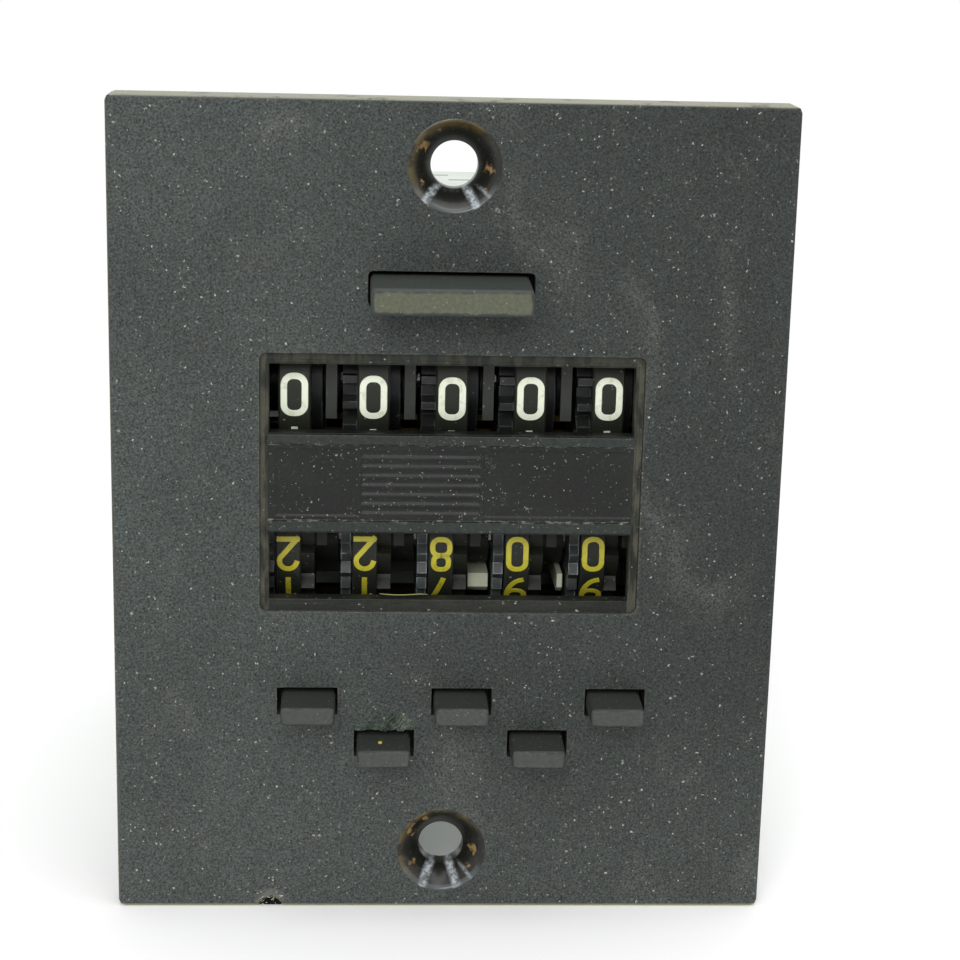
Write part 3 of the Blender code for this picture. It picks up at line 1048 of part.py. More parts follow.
def terminals():
    """Terminal base in the cover's rear opening and its six blades."""
    low_z, high_z = -BASE_HALF_HEIGHT, BASE_HALF_HEIGHT
    rear = CASE_REAR_DEPTH + BASE_PROUD
    base = prism("base", "Y", rectangle(-BASE_HALF_WIDTH, BASE_HALF_WIDTH, low_z, high_z, 0.8 * MM),
                 BASE_FRONT_DEPTH, rear)
    for k in range(TERMINAL_COUNT):
        x = (k - (TERMINAL_COUNT - 1) / 2) * TERMINAL_PITCH
        half, tall = BLADE_THICKNESS / 2, BLADE_HEIGHT / 2
        slot = rectangle(x - half - SEAT_GAP, x + half + SEAT_GAP, -tall - SEAT_GAP, tall + SEAT_GAP)
        combine(base, "DIFFERENCE", prism("slot", "Y", slot, BASE_FRONT_DEPTH - UNION_LAP, rear + UNION_LAP))
        tip = [(REAR_PLATE_DEPTH + SEAT_GAP, -tall * 0.7), (BASE_FRONT_DEPTH, -tall),
               (REAR_REACH - 1.2 * MM, -tall),
               (REAR_REACH, -tall * 0.6), (REAR_REACH, tall * 0.6), (REAR_REACH - 1.2 * MM, tall),
               (BASE_FRONT_DEPTH, tall), (REAR_PLATE_DEPTH + SEAT_GAP, tall * 0.7)]
        blade = prism("blade", "X", tip, x - half, x + half)
        hole = circle(0.8 * MM, 8, (REAR_REACH - 3 * MM, 0.0))
        combine(blade, "DIFFERENCE", prism("hole", "X", hole, x - BLADE_THICKNESS, x + BLADE_THICKNESS))
        finish_piece(blade, f"terminal_blade_{k + 1}", BRASS)
    finish_piece(base, "terminal_base", BROWN_BOARD)


def vent_cutters():
    """Staggered slots through the top and bottom of the cover, near its rear."""
    cutters = []
    for row, setback in enumerate(VENT_ROW_SETBACKS):
        middle = CASE_REAR_DEPTH - setback
        first_end = VENT_FIRST_END + row * VENT_LENGTH
        for k in range(-VENTS_PER_ROW // 2, VENTS_PER_ROW // 2 + 1):
            right = first_end + k * VENT_PITCH
            left = right - VENT_LENGTH
            slot = rectangle(left, right, middle - VENT_WIDTH / 2, middle + VENT_WIDTH / 2)
            if max(abs(left), abs(right)) > CASE_HALF - 3 * MM:
                continue
            for low in (-CASE_HALF - UNION_LAP, CASE_INNER_HALF - UNION_LAP):
                cutters.append(prism("vent", "Z", slot, low, low + CASE_WALL + 2 * UNION_LAP))
    return cutters


def rear_cover():
    """Cover over the mechanism: four walls and a rear wall, open towards the plate."""
    half, inner = CASE_HALF, CASE_INNER_HALF
    cover = prism("cover", "Y", rectangle(-half, half, -half, half, CASE_CORNER_RADIUS, 3),
                  COVER_FRONT_DEPTH, CASE_REAR_DEPTH)
    hollow = prism("hollow", "Y", rectangle(-inner, inner, -inner, inner, COVER_INNER_RADIUS, 3),
                   COVER_FRONT_DEPTH - UNION_LAP, CASE_REAR_DEPTH - CASE_REAR_WALL)
    across, up = BASE_HALF_WIDTH + SEAT_GAP, BASE_HALF_HEIGHT + SEAT_GAP
    wall = CASE_REAR_DEPTH - CASE_REAR_WALL - UNION_LAP
    cutters = [hollow, prism("opening", "Y", rectangle(-across, across, -up, up, 0.9 * MM), wall,
                             CASE_REAR_DEPTH + UNION_LAP)]
    for centre in COVER_SCREW_PLACES:
        cutters.append(prism("hole", "Y", circle(COVER_SCREW_RADIUS + SEAT_GAP, 10, centre), wall,
                             CASE_REAR_DEPTH + UNION_LAP))
    combine(cover, "DIFFERENCE", *cutters, *vent_cutters())
    finish_piece(cover, "rear_cover", CASE_PLASTIC)


def cover_screws():
    """Two slotted screws through the cover's rear wall into the rear tie plate."""
    head_front = CASE_REAR_DEPTH + SEAT_GAP
    head_rear = head_front + COVER_SCREW_HEAD_HEIGHT
    for number, (x, height) in enumerate(COVER_SCREW_PLACES, 1):
        rings = [[(a, depth, b) for a, b in circle(radius, 16, (x, height))]
                 for depth, radius in ((head_front, COVER_SCREW_HEAD_RADIUS),
                                       (head_rear - 0.6 * MM, COVER_SCREW_HEAD_RADIUS),
                                       (head_rear, COVER_SCREW_HEAD_RADIUS * 0.75))]
        screw = solid("head", rings)
        slot = rectangle(x - 0.35 * MM, x + 0.35 * MM, height - 4 * MM, height + 4 * MM)
        combine(screw, "UNION", prism("shank", "Y", circle(COVER_SCREW_RADIUS, 10, (x, height)),
                                      REAR_PLATE_DEPTH, head_front + UNION_LAP))
        combine(screw, "DIFFERENCE", prism("slot", "Y", slot, head_rear - 0.8 * MM, head_rear + UNION_LAP))
        finish_piece(screw, f"cover_screw_{number}", STEEL)


def keys_and_springs():
    """Five preset keys in two rows and every return spring."""
    for k, x in enumerate(KEY_X):
        height = KEY_ROW_HEIGHTS[k % 2]
        preset_key(k + 1, x, height, KEY_SHIFTS[k])
        spring(f"preset_spring_{k + 1}", x, height, KEY_SHOULDER_DEPTH + SEAT_GAP, KEY_GUIDE_DEPTH - SEAT_GAP)
    spring("reset_spring", RESET_SLOT_X, RESET_HEIGHT, reset_shoulder_depth() + SEAT_GAP,
           TIE_BAR_DEPTH - SEAT_GAP)
    spring("armature_spring", COIL_X, YOKE_TOP + SPRING_MEAN_RADIUS + SPRING_WIRE_RADIUS + SEAT_GAP,
           ARMATURE_REAR + SEAT_GAP, HOOK_DEPTH - SEAT_GAP)


def build():
    """Clear the scene and model every piece."""
    for item in list(bpy.data.objects):
        bpy.data.objects.remove(item)
    front_plate()
    window_frame()
    reset_key()
    reset_rake()
    keys_and_springs()
    wheels()
    shafts()
    side_frames()
    tie_bars()
    detent_comb()
    coil_group()
    armature()
    sensing_lever()
    switch()
    terminals()
    rear_cover()
    cover_screws()


build()
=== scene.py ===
"""Looks of the panel counter: worn black plate, number wheels, keys, cover and a plain pale stage."""

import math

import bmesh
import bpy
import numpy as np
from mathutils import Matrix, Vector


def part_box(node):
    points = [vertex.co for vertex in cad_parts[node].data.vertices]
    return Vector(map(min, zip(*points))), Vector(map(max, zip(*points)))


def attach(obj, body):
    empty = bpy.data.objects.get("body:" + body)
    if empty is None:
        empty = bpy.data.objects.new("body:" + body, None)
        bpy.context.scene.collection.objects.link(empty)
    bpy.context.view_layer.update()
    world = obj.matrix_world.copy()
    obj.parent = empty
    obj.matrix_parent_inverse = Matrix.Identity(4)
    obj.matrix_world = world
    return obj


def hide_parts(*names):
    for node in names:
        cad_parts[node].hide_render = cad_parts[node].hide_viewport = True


bl_info = {
    "name": "Panel Counter Dressing",
    "version": (1, 0, 0),
    "blender": (4, 5, 0),
    "location": "3D View > Sidebar > Counter",
    "description": "Finished surfaces for a panel counter with preset",
    "category": "Object",
}

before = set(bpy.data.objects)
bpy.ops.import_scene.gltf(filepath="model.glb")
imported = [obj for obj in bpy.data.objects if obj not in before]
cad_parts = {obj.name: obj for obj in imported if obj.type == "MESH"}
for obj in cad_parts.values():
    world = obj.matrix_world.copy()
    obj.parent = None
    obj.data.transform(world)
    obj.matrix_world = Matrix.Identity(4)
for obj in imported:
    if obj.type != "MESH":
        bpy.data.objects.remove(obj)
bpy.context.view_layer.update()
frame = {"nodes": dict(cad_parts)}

MM = 0.001
TAU = 2 * math.pi

# Places read from the frame: the plate's front face and its middle height
PLATE_LOW, PLATE_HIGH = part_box("front_plate")
FRONT = PLATE_LOW.y
MIDDLE = (PLATE_LOW.z + PLATE_HIGH.z) / 2
WHEELS = 5
# Middles of the screw holes above and below the plate's middle, in millimetres
HOLE_HEIGHT = 31.8


def placed(x, depth, height):
    """World points, in metres, from millimetres across, behind the plate's face and above its middle."""
    x, depth, height = np.broadcast_arrays(x, depth, height)
    return np.stack([x * MM, FRONT + depth * MM, MIDDLE + height * MM], axis=-1)


def node_span(node):
    """Lowest and highest corner of a node in millimetres across, deep and high, from the plate."""
    low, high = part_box(node)
    shift = Vector((0.0, FRONT, MIDDLE))
    return np.array((low - shift) / MM), np.array((high - shift) / MM)


# Meshes from grids of points

def grid_faces(rows, columns, wrap_rows, wrap_columns):
    """Quads between neighbouring points of a grid, joined end to end where it wraps."""
    i, j = np.meshgrid(np.arange(rows if wrap_rows else rows - 1),
                       np.arange(columns if wrap_columns else columns - 1), indexing="ij")
    after_i, after_j = (i + 1) % rows, (j + 1) % columns
    corners = (i * columns + j, i * columns + after_j, after_i * columns + after_j, after_i * columns + j)
    return np.stack(corners, axis=-1).reshape(-1, 4)


class Surfaces:
    """Grids of points gathered for one mesh, each with the number of its material."""

    def __init__(self):
        self.points, self.faces, self.materials, self.count = [], [], [], 0

    def add(self, grid, material=0, wrap_rows=False, wrap_columns=False):
        """Add one grid of world points, rows by columns by 3."""
        rows, columns = grid.shape[:2]
        faces = grid_faces(rows, columns, wrap_rows, wrap_columns) + self.count
        self.points.append(grid.reshape(-1, 3))
        self.faces.append(faces)
        self.materials.append(np.full(len(faces), material, dtype=np.int32))
        self.count += rows * columns
        return self

    def mesh(self, name):
        """One mesh with doubled points merged and faces turned outwards."""
        data = bpy.data.meshes.new(name)
        data.from_pydata(np.concatenate(self.points).tolist(), [], np.concatenate(self.faces).tolist())
        data.polygons.foreach_set("material_index", np.concatenate(self.materials))
        builder = bmesh.new()
        builder.from_mesh(data)
        bmesh.ops.remove_doubles(builder, verts=builder.verts, dist=1e-7)
        bmesh.ops.dissolve_degenerate(builder, edges=builder.edges, dist=1e-8)
        bmesh.ops.recalc_face_normals(builder, faces=builder.faces)
        builder.to_mesh(data)
        builder.free()
        return data


def shade(data, angle=35.0):
    """Smooth shading, with edges sharper than the angle left sharp."""
    data.shade_smooth()
    data.set_sharp_from_angle(angle=math.radians(angle))


def add_piece(name, data, materials, body, replaced=(), angle=35.0):
    """Link a finished mesh as a piece that rides on a body and stands for some nodes."""
    shade(data, angle)
    piece = bpy.data.objects.new(name, data)
    bpy.context.scene.collection.objects.link(piece)
    for material in materials:
        data.materials.append(material)
    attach(piece, body)
    if replaced:
        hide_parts(*replaced)
    return piece


def round_edges(piece, width, segments=2):
    """Bevel modifier on the edges sharper than 30 degrees, the width in millimetres."""
    bevel = piece.modifiers.new("Rounded edges", "BEVEL")
    bevel.width = width * MM
    bevel.segments = segments
    bevel.limit_method = "ANGLE"
    bevel.angle_limit = math.radians(30.0)
    bevel.use_clamp_overlap = True
    bevel.harden_normals = True
    return piece


def merged_mesh(node):
    """Copy of a node's mesh with its loose triangles merged and its flat faces made whole."""
    data = frame["nodes"][node].data.copy()
    data.materials.clear()
    builder = bmesh.new()
    builder.from_mesh(data)
    bmesh.ops.remove_doubles(builder, verts=builder.verts, dist=2e-6)
    bmesh.ops.dissolve_limit(builder, angle_limit=math.radians(0.5), verts=builder.verts,
                             edges=builder.edges)
    builder.to_mesh(data)
    builder.free()
    return data


def dressed(node, material, body, width=0.08, segments=2):
    """Piece made from a node's own shape, with its edges rounded."""
    piece = add_piece(f"{node}_finish", merged_mesh(node), [material], body, (node,))
    return round_edges(piece, width, segments)


# Materials

def new_material(name):
    """Material with a Principled surface, and the parts that its nodes are linked to."""
    material = bpy.data.materials.new(name)
    material.use_nodes = True
    tree = material.node_tree
    return material, tree, tree.nodes["Principled BSDF"]


def add_node(tree, kind, **values):
    """Node with its properties set by name and its inputs set by number or name with a leading in_."""
    node = tree.nodes.new(kind)
    for key, value in values.items():
        if key.startswith("in_"):
            name = key[3:]
            node.inputs[int(name) if name.isdigit() else name.replace("_", " ")].default_value = value
        else:
            setattr(node, key, value)
    return node


def object_place(tree, stretch=(1.0, 1.0, 1.0)):
    """Object coordinates, stretched by a Mapping node."""
    source = tree.nodes.new("ShaderNodeTexCoord")
    mapping = tree.nodes.new("ShaderNodeMapping")
    mapping.inputs["Scale"].default_value = stretch
    tree.links.new(source.outputs["Object"], mapping.inputs["Vector"])
    return mapping.outputs["Vector"]


def noise(tree, place, scale, detail=4.0, roughness=0.55, distortion=0.0):
    """Value of a noise texture at a number of waves in each metre."""
    node = add_node(tree, "ShaderNodeTexNoise", in_Scale=scale, in_Detail=detail,
                    in_Roughness=roughness, in_Distortion=distortion)
    tree.links.new(place, node.inputs["Vector"])
    return node.outputs["Fac"]


def ramp(tree, value, low, high):
    """Value stretched from low...high to 0...1 and held there."""
    node = add_node(tree, "ShaderNodeMapRange", clamp=True)
    node.interpolation_type = "SMOOTHSTEP"
    node.inputs["From Min"].default_value = low
    node.inputs["From Max"].default_value = high
    tree.links.new(value, node.inputs["Value"])
    return node.outputs["Result"]


def math_node(tree, operation, first, second):
    """Sum, product or other operation on two values, each a number or a socket."""
    node = add_node(tree, "ShaderNodeMath", operation=operation)
    for socket, value in zip(node.inputs, (first, second)):
        if isinstance(value, (int, float)):
            socket.default_value = value
        else:
            tree.links.new(value, socket)
    return node.outputs[0]


def mixed(tree, share, first, second, blend="MIX"):
    """Colour mixed from two colours by a share; each may be a colour or a socket."""
    node = add_node(tree, "ShaderNodeMix", data_type="RGBA", blend_type=blend)
    for socket, value in ((node.inputs[0], share), (node.inputs[6], first), (node.inputs[7], second)):
        if isinstance(value, bpy.types.NodeSocket):
            tree.links.new(value, socket)
        elif isinstance(value, (int, float)):
            socket.default_value = value
        else:
            socket.default_value = (*value, 1.0)
    return node.outputs[2]


def srgb(red, green, blue):
    """Linear colour from a colour on the screen, 0 to 255."""
    share = np.array((red, green, blue)) / 255.0
    return tuple(np.where(share <= 0.04045, share / 12.92, ((share + 0.055) / 1.055) ** 2.4).tolist())


def make_group(name, inputs, outputs):
    """Empty shader node group with named sockets, and its input and output nodes."""
    group = bpy.data.node_groups.new(name, "ShaderNodeTree")
    for socket, kind, value in inputs:
        made = group.interface.new_socket(socket, in_out="INPUT", socket_type=kind)
        made.default_value = value
    for socket, kind in outputs:
        group.interface.new_socket(socket, in_out="OUTPUT", socket_type=kind)
    return group, group.nodes.new("NodeGroupInput"), group.nodes.new("NodeGroupOutput")


def grain_group():
    """Moulding grain: a fine value for the colour and a height for the bump."""
    group, given, out = make_group(
        "Moulding grain", [("Scale", "NodeSocketFloat", 2500.0), ("Clouds", "NodeSocketFloat", 60.0)],
        [("Grain", "NodeSocketFloat"), ("Cloud", "NodeSocketFloat"), ("Height", "NodeSocketFloat")])
    place = object_place(group)
    fine = add_node(group, "ShaderNodeTexNoise", in_Detail=3.0, in_Roughness=0.7)
    broad = add_node(group, "ShaderNodeTexNoise", in_Detail=4.0, in_Roughness=0.6, in_Distortion=0.4)
    cells = add_node(group, "ShaderNodeTexVoronoi", feature="F1")
    for node, socket in ((fine, "Scale"), (broad, "Clouds"), (cells, "Scale")):
        group.links.new(place, node.inputs["Vector"])
        group.links.new(given.outputs[socket], node.inputs["Scale"])
    height = math_node(group, "ADD", fine.outputs["Fac"], cells.outputs["Distance"])
    group.links.new(fine.outputs["Fac"], out.inputs["Grain"])
    group.links.new(broad.outputs["Fac"], out.inputs["Cloud"])
    group.links.new(height, out.inputs["Height"])
    return group


def dust_group():
    """Dust: a mask of fine bright specks of two sizes and short fibres, thicker where a noise is high."""
    group, given, out = make_group(
        "Settled dust", [("Scale", "NodeSocketFloat", 900.0), ("Amount", "NodeSocketFloat", 0.5)],
        [("Mask", "NodeSocketFloat")])
    wander = add_node(group, "ShaderNodeTexNoise", in_Scale=3800.0, in_Detail=2.0)
    place = object_place(group)
    group.links.new(place, wander.inputs["Vector"])
    shift = add_node(group, "ShaderNodeVectorMath", operation="MULTIPLY_ADD")
    group.links.new(wander.outputs["Color"], shift.inputs[0])
    shift.inputs[1].default_value = (0.0005, 0.0005, 0.0005)
    group.links.new(place, shift.inputs[2])
    place = shift.outputs[0]
    masks = []
    for ratio, size, share in ((1.0, 0.15, 0.16), (2.6, 0.27, 0.24)):
        cells = add_node(group, "ShaderNodeTexVoronoi", feature="F1", in_Randomness=1.0)
        picked = add_node(group, "ShaderNodeSeparateColor")
        group.links.new(place, cells.inputs["Vector"])
        group.links.new(math_node(group, "MULTIPLY", given.outputs["Scale"], ratio), cells.inputs["Scale"])
        group.links.new(cells.outputs["Color"], picked.inputs[0])
        near = ramp(group, cells.outputs["Distance"], size, size * 0.4)
        wanted = math_node(group, "ADD", picked.outputs[0],
                           math_node(group, "MULTIPLY", given.outputs["Amount"], share))
        speck = math_node(group, "MULTIPLY", near, ramp(group, wanted, 0.99, 1.04))
        masks.append(math_node(group, "MULTIPLY", speck, math_node(
            group, "ADD", 0.25, math_node(group, "MULTIPLY", picked.outputs[1], 0.75))))
    fibres = add_node(group, "ShaderNodeTexNoise", in_Scale=420.0, in_Detail=1.0, in_Distortion=3.0)
    cloud = add_node(group, "ShaderNodeTexNoise", in_Scale=260.0, in_Detail=2.0)
    for node in (fibres, cloud):
        group.links.new(place, node.inputs["Vector"])
    line = math_node(group, "ABSOLUTE", math_node(group, "SUBTRACT", fibres.outputs["Fac"], 0.5), 0.0)
    thread = math_node(group, "MULTIPLY", ramp(group, line, 0.004, 0.001),
                       ramp(group, cloud.outputs["Fac"], 0.62, 0.68))
    both = math_node(group, "MAXIMUM", math_node(group, "MAXIMUM", masks[0], masks[1]),
                     math_node(group, "MULTIPLY", thread, 0.4))
    group.links.new(math_node(group, "MULTIPLY", both, given.outputs["Amount"]), out.inputs["Mask"])
    return group


def edge_group():
    """Edge wear: where a rounded normal departs from the face's own, broken up by noise."""
    group, given, out = make_group(
        "Edge wear", [("Radius", "NodeSocketFloat", 0.0002), ("Breakup", "NodeSocketFloat", 700.0)],
        [("Mask", "NodeSocketFloat")])
    rounded = add_node(group, "ShaderNodeBevel", samples=4)
    group.links.new(given.outputs["Radius"], rounded.inputs["Radius"])
    true = group.nodes.new("ShaderNodeNewGeometry")
    dot = add_node(group, "ShaderNodeVectorMath", operation="DOT_PRODUCT")
    group.links.new(rounded.outputs[0], dot.inputs[0])
    group.links.new(true.outputs["Normal"], dot.inputs[1])
    bent = ramp(group, dot.outputs["Value"], 0.995, 0.90)
    breakup = add_node(group, "ShaderNodeTexNoise", in_Detail=4.0)
    group.links.new(object_place(group), breakup.inputs["Vector"])
    group.links.new(given.outputs["Breakup"], breakup.inputs["Scale"])
    mask = math_node(group, "MULTIPLY", bent, ramp(group, breakup.outputs["Fac"], 0.38, 0.62))
    group.links.new(mask, out.inputs["Mask"])
    return group


GROUPS = {}


def placed_group(tree, name, **values):
    """Group node of a shared effect, with its own values."""
    node = tree.nodes.new("ShaderNodeGroup")
    node.node_tree = GROUPS[name]
    for key, value in values.items():
        node.inputs[key].default_value = value
    return node


def plastic(name, colour, cloud_colour, dust=0.4, wear_colour=(0.3, 0.3, 0.27), wear=0.5, roughness=0.5,
            bump=0.08, grain=4500.0, contrast=0.35, specular=0.2):
    """Moulded plastic: cloudy colour with grain, dust specks and pale worn edges."""
    material, tree, surface = new_material(name)
    grains = placed_group(tree, "grain", Scale=grain)
    specks = placed_group(tree, "dust", Amount=dust)
    edges = placed_group(tree, "edge")
    cloudy = mixed(tree, ramp(tree, grains.outputs["Cloud"], 0.35, 0.68), colour, cloud_colour)
    shade_value = math_node(tree, "ADD", math_node(tree, "MULTIPLY", math_node(
        tree, "SUBTRACT", grains.outputs["Grain"], 0.5), 2 * contrast), 1.0)
    grey = tree.nodes.new("ShaderNodeCombineColor")
    for socket in grey.inputs[:3]:
        tree.links.new(shade_value, socket)
    toned = mixed(tree, 1.0, cloudy, grey.outputs[0], "MULTIPLY")
    worn = mixed(tree, math_node(tree, "MULTIPLY", edges.outputs["Mask"], wear), toned, wear_colour)
    dusty = mixed(tree, specks.outputs["Mask"], worn, (0.42, 0.42, 0.37))
    tree.links.new(dusty, surface.inputs["Base Color"])
    rough = math_node(tree, "ADD", roughness - 0.06,
                      math_node(tree, "MULTIPLY", grains.outputs["Cloud"], 0.14))
    tree.links.new(rough, surface.inputs["Roughness"])
    surface.inputs["Specular IOR Level"].default_value = specular
    add_bump(tree, surface, grains.outputs["Height"], bump)
    return material


def add_bump(tree, surface, height, strength, distance=0.05):
    """Bump from a height, its depth in millimetres."""
    bump = add_node(tree, "ShaderNodeBump", in_Strength=strength, in_Distance=distance * MM)
    tree.links.new(height, bump.inputs["Height"])
    tree.links.new(bump.outputs[0], surface.inputs["Normal"])


def metal(name, colour, roughness=0.35, tarnish=(0.12, 0.10, 0.07), spread=0.5):
    """Metal with fine drawn lines and dull patches."""
    material, tree, surface = new_material(name)
    surface.inputs["Metallic"].default_value = 1.0
    place = object_place(tree)
    patches = noise(tree, place, 350.0, 5.0)
    lines = noise(tree, object_place(tree, (200.0, 3000.0, 3000.0)), 1.0, 2.0)
    dull = ramp(tree, patches, 0.45, 0.75)
    tree.links.new(mixed(tree, math_node(tree, "MULTIPLY", dull, spread), colour, tarnish),
                   surface.inputs["Base Color"])
    rough = math_node(tree, "ADD", roughness, math_node(tree, "MULTIPLY", dull, 0.25))
    tree.links.new(rough, surface.inputs["Roughness"])
    add_bump(tree, surface, lines, 0.15)
    return material


def chip_scuff(tree, place, split):
    """Share of grey scuffing round the chip in the bottom edge, broken up by noise."""
    across = math_node(tree, "MULTIPLY", math_node(tree, "ADD", split.outputs["X"], 15.9 * MM), 0.85)
    up = math_node(tree, "SUBTRACT", split.outputs["Z"], PLATE_LOW.z + 0.6 * MM)
    far = math_node(tree, "SQRT", math_node(tree, "ADD", math_node(tree, "MULTIPLY", across, across),
                                            math_node(tree, "MULTIPLY", up, up)), 0.0)
    torn = math_node(tree, "ADD", far, math_node(tree, "MULTIPLY", noise(
        tree, place, 1800.0, 5.0, 0.7), 1.6 * MM))
    return math_node(tree, "MULTIPLY", ramp(tree, torn, 2.3 * MM, 1.2 * MM), 0.6)


def plate_material(colours):
    """Plate: near black with grain and dust, lighter at its foot, lighter at its left as painted light that
    falls off towards the right, with pale rubbed outer edges, a paler top face, and a pale band along its
    bottom edge that is a painted contact line of shadow and reflection.
    """
    material, tree, surface = new_material("Worn black plate with painted light")
    place = object_place(tree)
    split = tree.nodes.new("ShaderNodeSeparateXYZ")
    tree.links.new(place, split.inputs[0])
    grains = placed_group(tree, "grain", Scale=5200.0, Clouds=60.0)
    specks = placed_group(tree, "dust", Amount=0.9, Scale=1000.0)
    edges = placed_group(tree, "edge", Radius=0.0003)
    # Painted light: the plate's colour runs from the lit left to the shaded right.
    across = ramp(tree, split.outputs["X"], PLATE_LOW.x, PLATE_LOW.x * 0.1 + PLATE_HIGH.x * 0.9)
    base = mixed(tree, across, tuple(colours.plate_lit_left), tuple(colours.plate_shaded_right))
    foot = math_node(tree, "MULTIPLY", ramp(tree, split.outputs["Z"], MIDDLE - 12 * MM, PLATE_LOW.z), 0.55)
    base = mixed(tree, foot, base, srgb(68, 72, 69))
    tints = ramp(tree, noise(tree, place, 4200.0, 1.0), 0.50, 0.66)
    tinted = mixed(tree, math_node(tree, "MULTIPLY", tints, 0.22), base, srgb(60, 72, 80))
    smudges = ramp(tree, noise(tree, object_place(tree, (1.0, 1.0, 0.55)), 130.0, 3.0, 0.5, 0.8), 0.55, 0.80)
    hazed = mixed(tree, math_node(tree, "MULTIPLY", smudges, 0.22), tinted, srgb(112, 113, 104))
    cloudy = mixed(tree, ramp(tree, grains.outputs["Cloud"], 0.42, 0.70), hazed,
                   mixed(tree, 1.0, hazed, (0.84, 0.84, 0.84), "MULTIPLY"))
    shade_value = math_node(tree, "ADD", math_node(tree, "MULTIPLY", math_node(
        tree, "SUBTRACT", grains.outputs["Grain"], 0.5), 4.4), 1.0)
    grey = tree.nodes.new("ShaderNodeCombineColor")
    for socket in grey.inputs[:3]:
        tree.links.new(shade_value, socket)
    toned = mixed(tree, 1.0, cloudy, grey.outputs[0], "MULTIPLY")
    rubbed = mixed(tree, math_node(tree, "MULTIPLY", edges.outputs["Mask"], 0.40), toned,
                   srgb(118, 112, 95))
    scuffed = mixed(tree, chip_scuff(tree, place, split), rubbed, srgb(112, 113, 104))
    dusty = mixed(tree, specks.outputs["Mask"], scuffed, srgb(180, 182, 170))
    top = ramp(tree, split.outputs["Z"], PLATE_HIGH.z - 0.22 * MM, PLATE_HIGH.z - 0.06 * MM)
    # Mask of the painted contact line along the bottom edge: shadow and reflection where the plate meets the
    # floor.
    bottom = ramp(tree, split.outputs["Z"], PLATE_LOW.z + 0.34 * MM, PLATE_LOW.z + 0.16 * MM)
    side = ramp(tree, split.outputs["X"], PLATE_LOW.x + 0.14 * MM, PLATE_LOW.x + 0.03 * MM)
    pale = mixed(tree, ramp(tree, noise(tree, place, 500.0, 4.0), 0.30, 0.45), srgb(104, 104, 90),
                 srgb(142, 142, 127))
    edged = mixed(tree, math_node(tree, "MULTIPLY", side, 0.55), dusty, srgb(122, 116, 92))
    contact_line_painted = mixed(tree, math_node(tree, "MULTIPLY", bottom, 0.9), edged, srgb(150, 146, 116))
    tree.links.new(mixed(tree, top, contact_line_painted, pale), surface.inputs["Base Color"])
    rough = math_node(tree, "ADD", 0.50, math_node(tree, "MULTIPLY", grains.outputs["Cloud"], 0.15))
    tree.links.new(rough, surface.inputs["Roughness"])
    surface.inputs["Specular IOR Level"].default_value = 0.25
    add_bump(tree, surface, grains.outputs["Height"], 0.45, 0.03)
    return material


